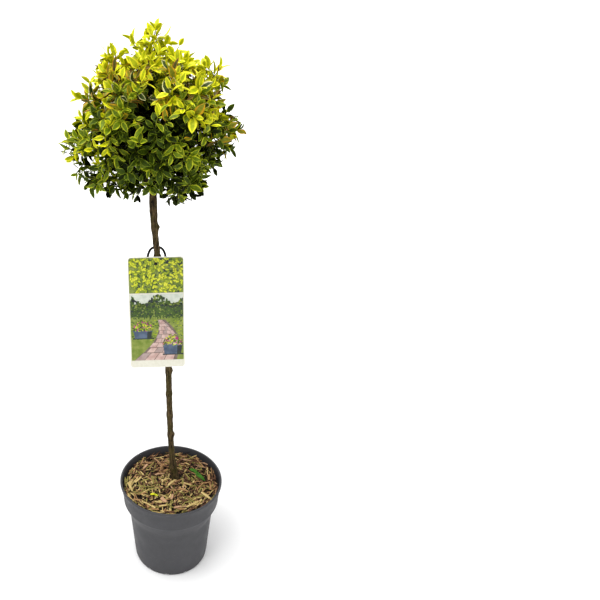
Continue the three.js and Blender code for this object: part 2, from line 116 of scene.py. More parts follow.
class SeededStream:
    """A repeatable stream of numbers, the same one as in the part's source."""

    def __init__(self, seed: int) -> None:
        """Starts the stream.

        Args:
            seed: Where it starts.
        """
        self._state = seed & 0xFFFFFFFF

    def draw(self) -> float:
        """Draws the next number.

        Returns:
            A number from 0 up to 1.
        """
        mask = 0xFFFFFFFF
        self._state = (self._state + 0x6D2B79F5) & mask
        s = self._state
        t = ((s ^ (s >> 15)) * (1 | s)) & mask
        t = ((t + (((t ^ (t >> 7)) * (61 | t)) & mask)) & mask) ^ t
        return (t ^ (t >> 14)) / 4294967296

    def between(self, low: float, high: float) -> float:
        """Draws a number between two others.

        Args:
            low: The lower one.
            high: The higher one.

        Returns:
            A number from low up to high.
        """
        return low + (high - low) * self.draw()

    def spread(self, most: float) -> float:
        """Draws a number from -most to most."""
        return (self.draw() * 2 - 1) * most


class ShaderGraph:
    """A material's node graph while it is being made."""

    def __init__(self, name: str) -> None:
        """Starts a material with one principled shader.

        Args:
            name: The material's name.
        """
        self.material = bpy.data.materials.new(name)
        self.material.use_nodes = True
        self.tree = self.material.node_tree
        self.surface = next(n for n in self.tree.nodes if n.type == "BSDF_PRINCIPLED")

    def add(self, kind: str, **sockets: object) -> bpy.types.Node:
        """Adds a node, with values or links on its sockets.

        Args:
            kind: The node's type name without ShaderNode.
            sockets: A value or an output socket for each input, named with _ for a space.

        Returns:
            The node.
        """
        node = self.tree.nodes.new("ShaderNode" + kind)
        for name, value in sockets.items():
            self.feed(node.inputs[name.replace("_", " ")], value)
        return node

    def feed(self, socket: Socket, value: object) -> None:
        """Sets an input socket to a value, or links it to an output.

        Args:
            socket: The input.
            value: A number, a tuple, a colour's hexadecimal digits or an output socket.
        """
        if isinstance(value, Socket):
            self.tree.links.new(value, socket)
        else:
            socket.default_value = from_hex(value) if isinstance(value, str) else value

    def shade(self, **sockets: object) -> None:
        """Feeds inputs of the principled shader, named with _ for a space."""
        for name, value in sockets.items():
            self.feed(self.surface.inputs[name.replace("_", " ")], value)

    def place(self, scale: Sequence[float] = (1, 1, 1)) -> Socket:
        """Gives the object's own coordinates, stretched.

        Args:
            scale: How much finer the pattern is along X, Y and Z.

        Returns:
            The vector output.
        """
        source = self.add("TexCoord")
        mapping = self.add("Mapping", Vector=source.outputs["Object"], Scale=tuple(scale))
        return mapping.outputs["Vector"]

    def noise(self, place: Socket, scale: float, detail: float = 4.0, rough: float = 0.55) -> Socket:
        """Adds a cloudy noise.

        Args:
            place: Where on the object.
            scale: Waves to the metre.
            detail: How many finer layers it has.
            rough: How strong the finer layers are.

        Returns:
            The noise as a number output.
        """
        node = self.add("TexNoise", Vector=place, Scale=scale, Detail=detail, Roughness=rough)
        return node.outputs["Fac"]

    def ramp(self, factor: Socket, *stops: tuple[float, str]) -> Socket:
        """Turns a number into a colour.

        Args:
            factor: The number.
            stops: Place and colour of each stop, in order.

        Returns:
            The colour output.
        """
        node = self.add("ValToRGB", Fac=factor)
        elements = node.color_ramp.elements
        while len(elements) < len(stops):
            elements.new(0.5)
        for element, (position, colour) in zip(elements, stops):
            element.position = position
            element.color = from_hex(colour)
        return node.outputs["Color"]

    def blend(self, factor: object, first: object, second: object) -> Socket:
        """Mixes two colours.

        Args:
            factor: How much of the second, as a number or an output.
            first: A colour or an output.
            second: A colour or an output.

        Returns:
            The colour output.
        """
        node = self.add("Mix")
        node.data_type = "RGBA"
        for index, value in ((0, factor), (6, first), (7, second)):
            self.feed(node.inputs[index], value)
        return node.outputs[2]

    def span(self, value: Socket, low: float, high: float, to_low: float, to_high: float) -> Socket:
        """Maps a number from one span to another, clamped.

        Args:
            value: The number.
            low: Where the first span starts.
            high: Where it ends.
            to_low: Where the second span starts.
            to_high: Where it ends.

        Returns:
            The mapped number.
        """
        node = self.add("MapRange", Value=value)
        for name, number in (("From Min", low), ("From Max", high), ("To Min", to_low), ("To Max", to_high)):
            node.inputs[name].default_value = number
        return node.outputs["Result"]

    def bump(self, height: Socket, strength: float, depth: float, below: Socket | None = None) -> Socket:
        """Adds relief to the surface's shading.

        Args:
            height: The relief.
            strength: How much of it shows, from 0 to 1.
            depth: Its depth in metres.
            below: The relief that it is added to.

        Returns:
            The normal output.
        """
        node = self.add("Bump", Height=height, Strength=strength, Distance=depth)
        if below is not None:
            self.feed(node.inputs["Normal"], below)
        return node.outputs["Normal"]


@dataclass(frozen=True)
class Finish:
    """A finish, which makes one material."""

    name: str

    def build(self) -> Material:
        """Makes the material.

        Returns:
            The material.
        """
        graph = ShaderGraph(self.name)
        self.wire(graph, graph.place())
        return graph.material

    def wire(self, graph: ShaderGraph, place: Socket) -> None:
        """Wires the finish's own nodes."""
        raise NotImplementedError


@dataclass(frozen=True)
class MottledFinish(Finish):
    """A matt to satin surface that shifts a little between two colours, with fine relief."""

    dark: str
    light: str
    grain: float = 900.0
    roughness: float = 0.5
    relief: float = 0.15
    depth: float = 0.0003
    specular: float = 0.5

    def wire(self, graph: ShaderGraph, place: Socket) -> None:
        """Wires the mottling, the gloss and the relief.

        Args:
            graph: The material's graph.
            place: The object's own coordinates.
        """
        colour = graph.ramp(graph.noise(place, self.grain, 3.0), (0.36, self.dark), (0.64, self.light))
        fine = graph.noise(place, self.grain * 3.1, 2.0)
        gloss = graph.span(fine, 0.3, 0.7, self.roughness - 0.06, self.roughness + 0.08)
        graph.shade(Base_Color=colour, Roughness=gloss, Specular_IOR_Level=self.specular,
                    Normal=graph.bump(fine, self.relief, self.depth))


@dataclass(frozen=True)
class MouldedPlastic(Finish):
    """Matt injection-moulded plastic with fine grain, faint flow marks and a little dust."""

    colour: str
    worn: str
    dust: str
    roughness: float = 0.5
    specular: float = 0.4

    def wire(self, graph: ShaderGraph, place: Socket) -> None:
        """Wires the wear, the dust, the sheen, the flow rings and the grain.

        Args:
            graph: The material's graph.
            place: The object's own coordinates.
        """
        base = graph.ramp(graph.noise(place, 16.0, 5.0, 0.6), (0.3, self.colour), (0.72, self.worn))
        dusty = graph.span(graph.noise(place, 420.0, 2.0, 0.6), 0.66, 0.76, 0.0, 0.35)
        sheen = graph.noise(place, 34.0, 3.0, 0.5)
        gloss = graph.span(sheen, 0.3, 0.7, self.roughness - 0.05, self.roughness + 0.1)
        rings = graph.bump(graph.noise(graph.place((0.04, 0.04, 1.0)), 150.0, 2.0), 0.14, 0.0006)
        grain = graph.bump(graph.noise(place, 2600.0, 2.0, 0.5), 0.16, 0.0002, rings)
        graph.shade(Base_Color=graph.blend(dusty, base, self.dust), Roughness=gloss,
                    Specular_IOR_Level=self.specular, Normal=grain)


@dataclass(frozen=True)
class BarkFinish(Finish):
    """Rough bark, streaked along the stem, with pale pores and green algae."""

    furrow: str
    ridge: str
    algae: str
    pores: str = "75663e"
    algae_share: float = 0.5

    def wire(self, graph: ShaderGraph, place: Socket) -> None:
        """Wires the streaks, the algae, the pores and the relief.

        Args:
            graph: The material's graph.
            place: The object's own coordinates.
        """
        streak = graph.noise(graph.place((1.0, 1.0, 0.2)), 350.0, 6.0, 0.65)
        bark = graph.ramp(streak, (0.38, self.furrow), (0.62, self.ridge))
        patch = graph.span(graph.noise(place, 60.0, 4.0), 0.44, 0.58, 0.0, self.algae_share)
        pores = graph.add("TexVoronoi", Vector=graph.place((1.0, 1.0, 0.6)), Scale=520.0)
        pale = graph.span(pores.outputs["Distance"], 0.1, 0.24, 0.5, 0.0)
        colour = graph.blend(pale, graph.blend(patch, bark, self.algae), self.pores)
        relief = graph.bump(graph.noise(place, 1500.0, 3.0), 0.3, 0.0004, graph.bump(streak, 0.7, 0.0011))
        graph.shade(Base_Color=colour, Roughness=0.9, Specular_IOR_Level=0.15, Normal=relief)


@dataclass(frozen=True)
class CompostFinish(Finish):
    """Dark crumbly compost with paler fibres."""

    dark: str
    light: str
    fibre: str = "7d6440"

    def wire(self, graph: ShaderGraph, place: Socket) -> None:
        """Wires the crumbs and the fibres.

        Args:
            graph: The material's graph.
            place: The object's own coordinates.
        """
        crumbs = graph.add("TexVoronoi", Vector=place, Scale=340.0)
        cloud = graph.noise(place, 160.0, 6.0, 0.7)
        lumps = graph.bump(crumbs.outputs["Distance"], 0.8, 0.0016)
        graph.shade(Base_Color=graph.ramp(cloud, (0.35, self.dark), (0.6, self.light), (0.78, self.fibre)),
                    Roughness=0.95, Normal=graph.bump(cloud, 0.6, 0.0012, lumps))


class Dresser:
    """Makes objects from meshes, gives them their finishes and hangs them on the part's body."""

    def __init__(self) -> None:
        """Starts with no materials made."""
        self._made: dict[str, Material] = {}

    def material(self, finish: Finish) -> Material:
        """Makes a finish's material once.

        Args:
            finish: The finish.

        Returns:
            Its material.
        """
        if finish.name not in self._made:
            self._made[finish.name] = finish.build()
        return self._made[finish.name]

    def piece(self, name: str, mesh: Mesh, finishes: Sequence[Finish], slot: str,
              stands_for: Sequence[str] = ()) -> bpy.types.Object:
        """Makes a piece of the plant that rides on the part's one body.

        Args:
            name: The piece's name.
            mesh: Its mesh, in the part's frame.
            finishes: Its finishes, in the order of the mesh's material indices.
            slot: The record's material slot; not used.
            stands_for: The solids that it replaces.

        Returns:
            The piece.
        """
        piece = put_in_scene(name, mesh)
        for finish in finishes:
            mesh.materials.append(self.material(finish))
        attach(piece, "root")
        if stands_for:
            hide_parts(*stands_for)
        LOG.info("%s: %d faces", name, len(mesh.polygons))
        return piece


def mesh_of(bm: BMesh, name: str, smooth: bool = True) -> Mesh:
    """Finishes a bmesh: faces outward, shading set, written to a mesh.

    Args:
        bm: The bmesh, which is freed.
        name: The mesh's name.
        smooth: Whether its faces are shaded smooth.

    Returns:
        The mesh.
    """
    bmesh.ops.recalc_face_normals(bm, faces=bm.faces)
    for face in bm.faces:
        face.smooth = smooth
    mesh = bpy.data.meshes.new(name)
    bm.to_mesh(mesh)
    bm.free()
    return mesh


def new_verts(made: dict[str, list]) -> list[BMVert]:
    """Picks the vertices out of what an operator made."""
    return [g for g in made["geom"] if isinstance(g, BMVert)]


def spin_outline(bm: BMesh, outline: Sequence[tuple[float, float]], steps: int) -> list[BMVert]:
    """Turns an outline once round the Z axis.

    Args:
        bm: Takes the surface.
        outline: Radius and height of each point, in millimetres.
        steps: How many steps the turn has.

    Returns:
        The surface's vertices.
    """
    known = set(bm.verts)
    line = [bm.verts.new((r * MM, 0.0, z * MM)) for r, z in outline]
    edges = [bm.edges.new(pair) for pair in zip(line, line[1:])]
    bmesh.ops.spin(bm, geom=[*line, *edges], cent=(0, 0, 0), axis=UP, angle=2 * math.pi, steps=steps,
                   use_merge=True)
    bmesh.ops.remove_doubles(bm, verts=[v for v in bm.verts if v not in known], dist=1e-6)
    return [v for v in bm.verts if v not in known]


def mesh_from_arrays(name: str, points: np.ndarray, faces: Sequence[np.ndarray], indices: np.ndarray,
                     smooth: bool = True) -> Mesh:
    """Joins many small things into one mesh.

    Args:
        name: The mesh's name.
        points: All the points, one row each.
        faces: Arrays of faces, each array with its own number of corners.
        indices: Each face's material index, in the order of the arrays.
        smooth: Whether the faces are shaded smooth.

    Returns:
        The mesh.
    """
    mesh = bpy.data.meshes.new(name)
    corners = np.concatenate([f.ravel() for f in faces]).astype(np.int32)
    sizes = np.concatenate([np.full(len(f), f.shape[1], np.int32) for f in faces])
    starts = np.concatenate([[0], np.cumsum(sizes)[:-1]]).astype(np.int32)
    mesh.vertices.add(len(points))
    mesh.vertices.foreach_set("co", points.astype(np.float32).ravel())
    mesh.loops.add(len(corners))
    mesh.loops.foreach_set("vertex_index", corners)
    mesh.polygons.add(len(sizes))
    mesh.polygons.foreach_set("loop_start", starts)
    mesh.polygons.foreach_set("loop_total", sizes)
    mesh.polygons.foreach_set("material_index", indices.astype(np.int32))
    mesh.polygons.foreach_set("use_smooth", np.full(len(sizes), smooth))
    mesh.update(calc_edges=True)
    mesh.validate()
    return mesh


class StemLine:
    """A middle line, a centripetal curve through a few points, in millimetres."""

    def __init__(self, points: Sequence[Sequence[float]], samples: int = 60) -> None:
        """Samples the curve.

        Args:
            points: The points that it runs through.
            samples: How many samples each stretch gets.
        """
        known = [Vector(p) for p in points]
        ends = [known[0] * 2 - known[1], *known, known[-1] * 2 - known[-2]]
        self.samples = [known[0]]
        for p0, p1, p2, p3 in zip(ends, ends[1:], ends[2:], ends[3:]):
            t1 = (p1 - p0).length ** 0.5
            t2 = t1 + (p2 - p1).length ** 0.5
            t3 = t2 + (p3 - p2).length ** 0.5
            for i in range(1, samples + 1):
                t = t1 + (t2 - t1) * i / samples
                a1 = p0 * ((t1 - t) / t1) + p1 * (t / t1)
                a2 = p1 * ((t2 - t) / (t2 - t1)) + p2 * ((t - t1) / (t2 - t1))
                a3 = p2 * ((t3 - t) / (t3 - t2)) + p3 * ((t - t2) / (t3 - t2))
                b1 = a1 * ((t2 - t) / t2) + a2 * (t / t2)
                b2 = a2 * ((t3 - t) / (t3 - t1)) + a3 * ((t - t1) / (t3 - t1))
                self.samples.append(b1 * ((t2 - t) / (t2 - t1)) + b2 * ((t - t1) / (t2 - t1)))
        self._heights = [p.z for p in self.samples]

    def at_height(self, z: float) -> Vector:
        """Finds the line's point at a height.

        Args:
            z: The height.

        Returns:
            The point.
        """
        x, y = (np.interp(z, self._heights, [p[axis] for p in self.samples]) for axis in (0, 1))
        return Vector((x, y, z))


def curve(start: Vector, middle: Vector, end: Vector, steps: int) -> list[Vector]:
    """Gives the points of a curve that sets out from one point to another past a third.

    Args:
        start: The curve's start.
        middle: The point that pulls it.
        end: The curve's end.
        steps: How many stretches it has.

    Returns:
        The points.
    """
    shares = [k / steps for k in range(steps + 1)]
    return [start.lerp(middle, share).lerp(middle.lerp(end, share), share) for share in shares]


class LimbModeller:
    """Draws out a limb from a circle of vertices, station by station, in one bmesh."""

    def __init__(self, sides: int) -> None:
        """Starts an empty bmesh.

        Args:
            sides: How many sides each limb has.
        """
        self.sides = sides
        self.bm = bmesh.new()

    def draw_out(self, centres: Sequence[Vector], radii: Sequence[float],
                 relief: Callable[[Vector, Vector, float], float] | None = None) -> None:
        """Draws out one closed limb.

        Args:
            centres: The stations' middles, in metres.
            radii: Their radii, in metres.
            relief: Gives how far a vertex stands out from its station's radius, from its place, its direction
                from the middle and the middle's height.
        """
        axes = [(b - a).normalized() for a, b in zip(centres, centres[1:])]
        axes.append(axes[-1])
        turn = UP.rotation_difference(axes[0])
        pose = Matrix.Translation(centres[0]) @ turn.to_matrix().to_4x4()
        ring = bmesh.ops.create_circle(self.bm, cap_ends=True, segments=self.sides, radius=radii[0],
                                       matrix=pose)["verts"]
        edges = list({e: None for v in ring for e in v.link_edges})
        self._roughen(ring, centres[0], relief)
        ways = {v: (v.co - centres[0]).normalized() for v in ring}
        for i in range(1, len(centres)):
            made = bmesh.ops.extrude_edge_only(self.bm, edges=edges)
            ring = new_verts(made)
            edges = [g for g in made["geom"] if isinstance(g, BMEdge) and not ways.keys() & set(g.verts)]
            bend = axes[i - 1].rotation_difference(axes[i])
            below, ways = ways, {}
            for v in ring:
                parent = next(e.other_vert(v) for e in v.link_edges if e.other_vert(v) in below)
                ways[v] = bend @ below[parent]
                v.co = centres[i] + ways[v] * radii[i]
            self._roughen(ring, centres[i], relief)
        bmesh.ops.edgeloop_fill(self.bm, edges=edges)

    @staticmethod
    def _roughen(ring: Iterable[BMVert], centre: Vector,
                 relief: Callable[[Vector, Vector, float], float] | None) -> None:
        """Moves a station's vertices out by the relief.

        Args:
            ring: The vertices.
            centre: The station's middle.
            relief: The relief, or None for a smooth limb.
        """
        if relief is None:
            return
        for v in ring:
            way = (v.co - centre).normalized()
            v.co += way * relief(v.co.copy(), way, centre.z)


@dataclass
class NurseryPot:
    """The round nursery pot: tapered wall, sloping shoulder, near-upright collar, thin lip, drain holes."""

    rim_radius: float = 95.0
    height: float = 172.0
    collar_radius: float = 93.0
    collar_foot_radius: float = 88.8
    collar_foot: float = 131.0
    shoulder_radius: float = 78.6
    shoulder_foot: float = 106.0
    heel_radius: float = 70.3
    heel: float = 8.0
    foot_radius: float = 66.5
    wall: float = 1.6
    floor: float = 2.4
    steps: int = 128
    holes: int = 8
    notches: int = 12
    notch_half_turn: float = 0.03
    notch_depth: float = 2.4
    first_notch: float = -97.0
    underside: float = 0.9
    drain_from: float = 42.0
    drain_to: float = 52.0
    drain_half_turn: float = 0.1
    plastic: MouldedPlastic = MouldedPlastic("anthracite_plastic", "353538", "404043", "6c6a63", 0.56, 0.32)

    def profile(self) -> list[tuple[float, float]]:
        """Lists the wall's outline, from the middle of the underside up, over the lip and down inside.

        Returns:
            Radius and height of each point, in millimetres.
        """
        h, w, low, floor = self.height, self.wall, self.underside, self.floor
        cf, cr = self.collar_foot, self.collar_foot_radius
        outer = [(0.0, low), (12.0, low), (38.0, low), (self.drain_from, low), (self.drain_to, low),
                 (56.0, 0.8), (58.0, 0.0), (self.foot_radius, 0.0), (self.foot_radius + 2.4, 1.6),
                 (self.heel_radius - 0.4, 4.6),
                 (self.heel_radius, self.heel), (71.6, 23.0), (73.4, 44.0), (75.2, 65.0), (77.0, 86.0),
                 (self.shoulder_radius - 0.6, self.shoulder_foot - 5.0),
                 (self.shoulder_radius + 0.3, self.shoulder_foot), (80.2, self.shoulder_foot + 4.0),
                 (84.2, 119.5), (cr - 1.5, cf - 4.0), (cr - 0.7, cf - 1.4), (cr - 0.2, cf - 0.4),
                 (cr + 0.4, cf + 0.5), (cr + 0.5, cf + 2.0), (90.2, 144.0), (91.6, 156.0),
                 (self.collar_radius - 0.2, h - 4.6), (self.collar_radius + 0.3, h - 3.6),
                 (self.rim_radius - 0.5, h - 3.2), (self.rim_radius, h - 2.5), (self.rim_radius, h - 0.9),
                 (self.rim_radius - 0.5, h - 0.15), (self.rim_radius - 1.2, h)]
        inner = [(self.collar_radius - w + 0.3, h), (self.collar_radius - w, h - 0.6),
                 (self.collar_radius - w - 0.3, h - 6.0), (88.9, 148.0), (cr - w, cf),
                 (self.shoulder_radius - w, self.shoulder_foot), (self.heel_radius - w, self.heel + 2.0),
                 (self.foot_radius - w, floor), (56.0, floor), (self.drain_to, floor),
                 (self.drain_from, floor), (12.0, floor), (0.0, floor)]
        return outer + inner

    def build(self) -> Mesh:
        """Spins the outline into the pot and opens its drain holes.

        Returns:
            The mesh.
        """
        bm = bmesh.new()
        spin_outline(bm, self.profile(), self.steps)
        self._notch_foot(bm)
        self._open_drains(bm)
        return mesh_of(bm, "pot_shell")

    def _notch_foot(self, bm: BMesh) -> None:
        """Presses the small notches between the foot's pads into its edge.

        Args:
            bm: The pot's bmesh.
        """
        edge = [v for v in bm.verts if v.co.xy.length > (self.foot_radius - 1) * MM and v.co.z < 2.2 * MM]
        for index in range(self.notches):
            middle = math.radians(self.first_notch) + index * 2 * math.pi / self.notches
            for v in edge:
                if abs(turn_from(v.co, middle)) < self.notch_half_turn:
                    v.co.xy *= 1 - self.notch_depth * MM / v.co.xy.length
                    v.co.z += 2.0 * MM

    def _open_drains(self, bm: BMesh) -> None:
        """Cuts the drain slots through the floor.

        Args:
            bm: The pot's bmesh.
        """
        for index in range(self.holes):
            middle = (index + 0.5) * 2 * math.pi / self.holes
            taken = []
            for face in bm.faces:
                at = face.calc_center_median()
                if (self.drain_from * MM < at.xy.length < self.drain_to * MM and at.z < 4 * MM
                        and abs(turn_from(at, middle)) < self.drain_half_turn):
                    taken.append(face)
            rims = [e for f in taken for e in f.edges if sum(g in taken for g in e.link_faces) == 1]
            bmesh.ops.delete(bm, geom=taken, context="FACES")
            bmesh.ops.bridge_loops(bm, edges=[e for e in rims if e.is_valid])

    def dress(self, dresser: Dresser) -> None:
        """Makes the pot's piece.

        Args:
            dresser: Makes and hangs the piece.
        """
        piece = dresser.piece("pot_shell", self.build(), [self.plastic], "pot_plastic", ["pot"])
        edges = piece.modifiers.new("crisp_edges", "EDGE_SPLIT")
        edges.split_angle = math.radians(50)


@dataclass(frozen=True)
class Placed:
    """A leaf or chip placed one by one: its middle, turn, length, width, finish and height over the bed."""

    middle: tuple[float, float]
    turn: float
    length: float
    width: float
    finish: int
    over: float = 6.2


@dataclass(frozen=True)
class Sliver:
    """A sliver of wood as it lies: its middle, turn, pitch, length, width and wood."""

    middle: Vector
    turn: float
    pitch: float
    length: float
    width: float
    wood: int


def chip_finish(name: str, dark: str, light: str, rough: float = 0.85, gloss: float = 0.15) -> MottledFinish:
    """Makes a chip's dull finish."""
    return MottledFinish(name, dark, light, 900, rough, 0.6, specular=gloss)


@dataclass
class ChipLayer:
    """The wood chips on the compost: a crumbly bed, with slivers and a few fallen leaves strewn on it."""

    level: float = 158.0
    radius: float = 90.2
    slivers: int = 1250
    lengths: tuple[float, float] = (7.0, 26.0)
    seed: int = 29
    stem_at: tuple[float, float] = (8.3, 13.8)
    stem_gap: float = 8.5
    bed_sides: int = 96
    bed_rings: int = 20
    bed_under: float = 2.5
    bed_depth: float = 6.0
    bed_waves: tuple[tuple[float, float], ...] = ((60.0, 2.0), (170.0, 1.2))
    wall_gap: float = 1.2
    leaf_thickness: float = 0.35
    bed: CompostFinish = CompostFinish("chip_bed_crumb", "120c07", "33251a")
    woods: tuple[MottledFinish, ...] = (
        chip_finish("chip_straw", "a68a4a", "dac48a"),
        chip_finish("chip_olive", "645c2e", "9c9150"),
        chip_finish("chip_tan", "82603c", "b89064"),
        chip_finish("chip_brown", "442f22", "70503a", 0.9),
        chip_finish("chip_rosy", "96704e", "cba684"),
        # Near-black slivers: painted shade in the gaps between the chips.
        chip_finish("chip_painted_shade", "140e09", "2c2015", 0.95, 0.1),
    )
    # Shares of each wood at the front and at the back right; towards the back the mix turns browner, with
    # more of the painted-shade slivers.
    front_shares: tuple[float, ...] = (0.24, 0.27, 0.2, 0.15, 0.02, 0.12)
    back_shares: tuple[float, ...] = (0.08, 0.09, 0.25, 0.36, 0.06, 0.16)
    green: MottledFinish = MottledFinish("fallen_green", "2a5210", "447420", 300, 0.6, 0.3, specular=0.1)
    yellow: MottledFinish = MottledFinish("fallen_yellow", "a6a80c", "cfd01c", 300, 0.5, 0.3, specular=0.25)
    fallen: tuple[Placed, ...] = (
        Placed((54, 14), -52, 34, 9, 0, 6.0), Placed((44, 28), -34, 20, 8, 0, 6.6),
        Placed((-33, -35), 12, 11, 5, 1, 6.2), Placed((-27, -37), -30, 8, 4, 1, 6.0),
    )
    chips: tuple[Placed, ...] = (
        Placed((1, -4), 50, 30, 4.2, 0), Placed((66, -40), -43, 30, 4.4, 0),
        Placed((2, -42), 78, 13, 5.0, 4), Placed((15, -66), 12, 20, 5.2, 4),
        Placed((-13, -50), -48, 14, 6.0, 4), Placed((-60, 6), 58, 26, 3.4, 0),
        Placed((-74, -20), -66, 30, 3.6, 0), Placed((24, -24), -25, 22, 3.6, 2),
        Placed((38, -60), 35, 26, 3.6, 0), Placed((-40, -60), -30, 28, 3.8, 0),
        Placed((-22, 20), 15, 18, 6.0, 4), Placed((-50, 40), 62, 16, 4.0, 4),
        Placed((72, 12), 84, 18, 4.6, 2), Placed((30, 60), -12, 22, 3.6, 4),
    )

    def build_bed(self) -> Mesh:
        """Makes the crumbly bed under the slivers.

        Returns:
            The mesh.
        """
        bm = bmesh.new()
        bmesh.ops.create_circle(bm, cap_ends=True, segments=self.bed_sides, radius=(self.radius + 0.4) * MM,
                                matrix=Matrix.Translation((0, 0, (self.level - self.bed_under) * MM)))
        top = bm.faces[:]
        for _ in range(self.bed_rings):
            bmesh.ops.inset_region(bm, faces=top, thickness=self.radius / (self.bed_rings + 1) * MM,
                                   use_boundary=True, use_even_offset=False)
        bmesh.ops.poke(bm, faces=top)
        for v in bm.verts:
            if v.co.xy.length < self.radius * MM:
                v.co.z += sum(noise.noise(v.co * waves) * tall * MM for waves, tall in self.bed_waves)
        rim = [e for e in bm.edges if e.is_boundary]
        low = new_verts(bmesh.ops.extrude_edge_only(bm, edges=rim))
        bmesh.ops.translate(bm, verts=low, vec=(0, 0, -self.bed_depth * MM))
        bmesh.ops.edgeloop_fill(bm, edges=[e for e in bm.edges if e.is_boundary])
        return mesh_of(bm, "chip_bed")

    def _strewn(self, draws: SeededStream) -> Iterable[Sliver]:
        """Strews the slivers evenly over the bed.

        Args:
            draws: The stream of numbers.

        Returns:
            The slivers.
        """
        for i in range(self.slivers):
            reach = math.sqrt((i + 0.5) / self.slivers) * (self.radius - 4)
            azimuth = i * GOLDEN + draws.spread(0.3)
            length = draws.between(*self.lengths) * (0.5 if draws.draw() < 0.5 else 1.0)
            width = draws.between(0.8, 2.4) + length * 0.03
            middle = Vector((reach * math.cos(azimuth), reach * math.sin(azimuth), 0))
            turn = draws.draw() * 2 * math.pi
            if reach > self.radius - 16:
                turn = azimuth + math.pi / 2 + draws.spread(0.6)
            off_stem = middle.xy - Vector(self.stem_at)
            if off_stem.length < self.stem_gap + 2:
                continue
            if off_stem.length < self.stem_gap + length / 2:
                turn = math.atan2(off_stem.y, off_stem.x) + math.pi / 2
            pitch = draws.spread(0.42)
            middle.z = self.level + draws.between(0.2, 5.0) + abs(math.sin(pitch)) * length * 0.2
            back = min(1.0, max(0.0, 0.5 + (middle.y + 0.5 * middle.x) / self.radius))
            shares = np.cumsum(np.array(self.front_shares) * (1 - back) + np.array(self.back_shares) * back)
            wood = int(np.searchsorted(shares[:-1], draws.draw()))
            yield Sliver(middle, turn, pitch, length, width, wood)

    def _corners(self, sliver: Sliver, draws: SeededStream) -> list[Vector]:
        """Gives a sliver's corners: a bent stick with worn ends, kept inside the pot.

        Args:
            sliver: The sliver.
            draws: The stream of numbers.

        Returns:
            Three rings of four corners, in metres.
        """
        thick, roll = draws.between(0.7, 1.6), draws.spread(0.5)
        pose = Matrix.Rotation(sliver.turn, 4, "Z") @ Matrix.Rotation(sliver.pitch, 4, "Y")
        pose @= Matrix.Rotation(roll, 4, "X")
        sag, skew = draws.spread(0.08) * sliver.length, draws.spread(0.4)
        most = self.radius - self.wall_gap
        corners = []
        for k, x in enumerate((-0.5, -0.1, 0.5)):
            taper = (draws.between(0.5, 1.0), 1.0, draws.between(0.3, 0.95))[k]
            for y, z in ((-1, -1), (1, -1), (1, 1), (-1, 1)):
                spot = Vector((x * sliver.length + y * skew * (k - 1), y * sliver.width * taper / 2,
                               z * thick * taper / 2 - sag * (x * x * 4)))
                spot += Vector((draws.spread(0.4), draws.spread(0.2), draws.spread(0.15)))
                corner = sliver.middle + pose @ spot
                corner.xy *= min(1.0, most / corner.xy.length)
                corners.append(corner * MM)
        return corners

    def build_slivers(self) -> Mesh:
        """Makes the slivers of wood, the strewn ones and those that catch the eye.

        Returns:
            The mesh.
        """
        draws = SeededStream(self.seed)
        slivers = list(self._strewn(draws))
        slivers += [Sliver(Vector((*chip.middle, self.level + chip.over)), math.radians(chip.turn), 0.05,
                           chip.length, chip.width, chip.finish) for chip in self.chips]
        points = np.array([corner for sliver in slivers for corner in self._corners(sliver, draws)])
        sides = [[k + c, k + (c + 1) % 4, k + 4 + (c + 1) % 4, k + 4 + c] for k in (0, 4) for c in range(4)]
        faces = np.array([[3, 2, 1, 0], *sides, [8, 9, 10, 11]])
        quads = np.concatenate([faces + 12 * index for index in range(len(slivers))])
        woods = np.repeat([sliver.wood for sliver in slivers], len(faces))
        return mesh_from_arrays("wood_slivers", points, [quads], woods, False)

    def build_fallen(self) -> Mesh:
        """Makes the few leaves that have dropped on the chips.

        Returns:
            The mesh.
        """
        bm = bmesh.new()
        for leaf in self.fallen:
            pose = Matrix.Translation(Vector((*leaf.middle, self.level + leaf.over)) * MM)
            pose @= Matrix.Rotation(math.radians(leaf.turn), 4, "Z") @ Matrix.Rotation(0.12, 4, "X")
            shape = Matrix.Diagonal((leaf.length * MM, leaf.width * MM, 1, 1))
            made = bmesh.ops.create_grid(bm, x_segments=10, y_segments=4, size=0.5)
            for v in made["verts"]:
                u, half = v.co.x + 0.5, v.co.y * 2
                v.co.y *= math.sin(math.pi * u) ** 0.7 * (1.15 - 0.4 * u)
                v.co.z = (abs(half) * 0.11 * leaf.width - 0.5 * (u - 0.4) ** 2 * leaf.width) * MM
            bmesh.ops.transform(bm, matrix=pose @ shape, verts=made["verts"])
            for face in {f for v in made["verts"] for f in v.link_faces}:
                face.material_index = leaf.finish
        bmesh.ops.remove_doubles(bm, verts=bm.verts, dist=1e-6)
        bmesh.ops.recalc_face_normals(bm, faces=bm.faces)
        bmesh.ops.solidify(bm, geom=bm.faces[:], thickness=self.leaf_thickness * MM)
        return mesh_of(bm, "fallen_leaves")

    def dress(self, dresser: Dresser) -> None:
        """Makes the bed's and the slivers' pieces, and finishes the compost below.

        Args:
            dresser: Makes and hangs the pieces.
        """
        dresser.piece("chip_bed", self.build_bed(), [self.bed], "chips", ["wood_chips"])
        dresser.piece("wood_slivers", self.build_slivers(), self.woods, "chips")
        dresser.piece("fallen_leaves", self.build_fallen(), [self.green, self.yellow], "leaves")
        compost = dresser.material(CompostFinish("potting_compost", "1c140d", "3b2c1d"))
        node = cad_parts["root_ball"]
        node.data.materials.clear()
        node.data.materials.append(compost)


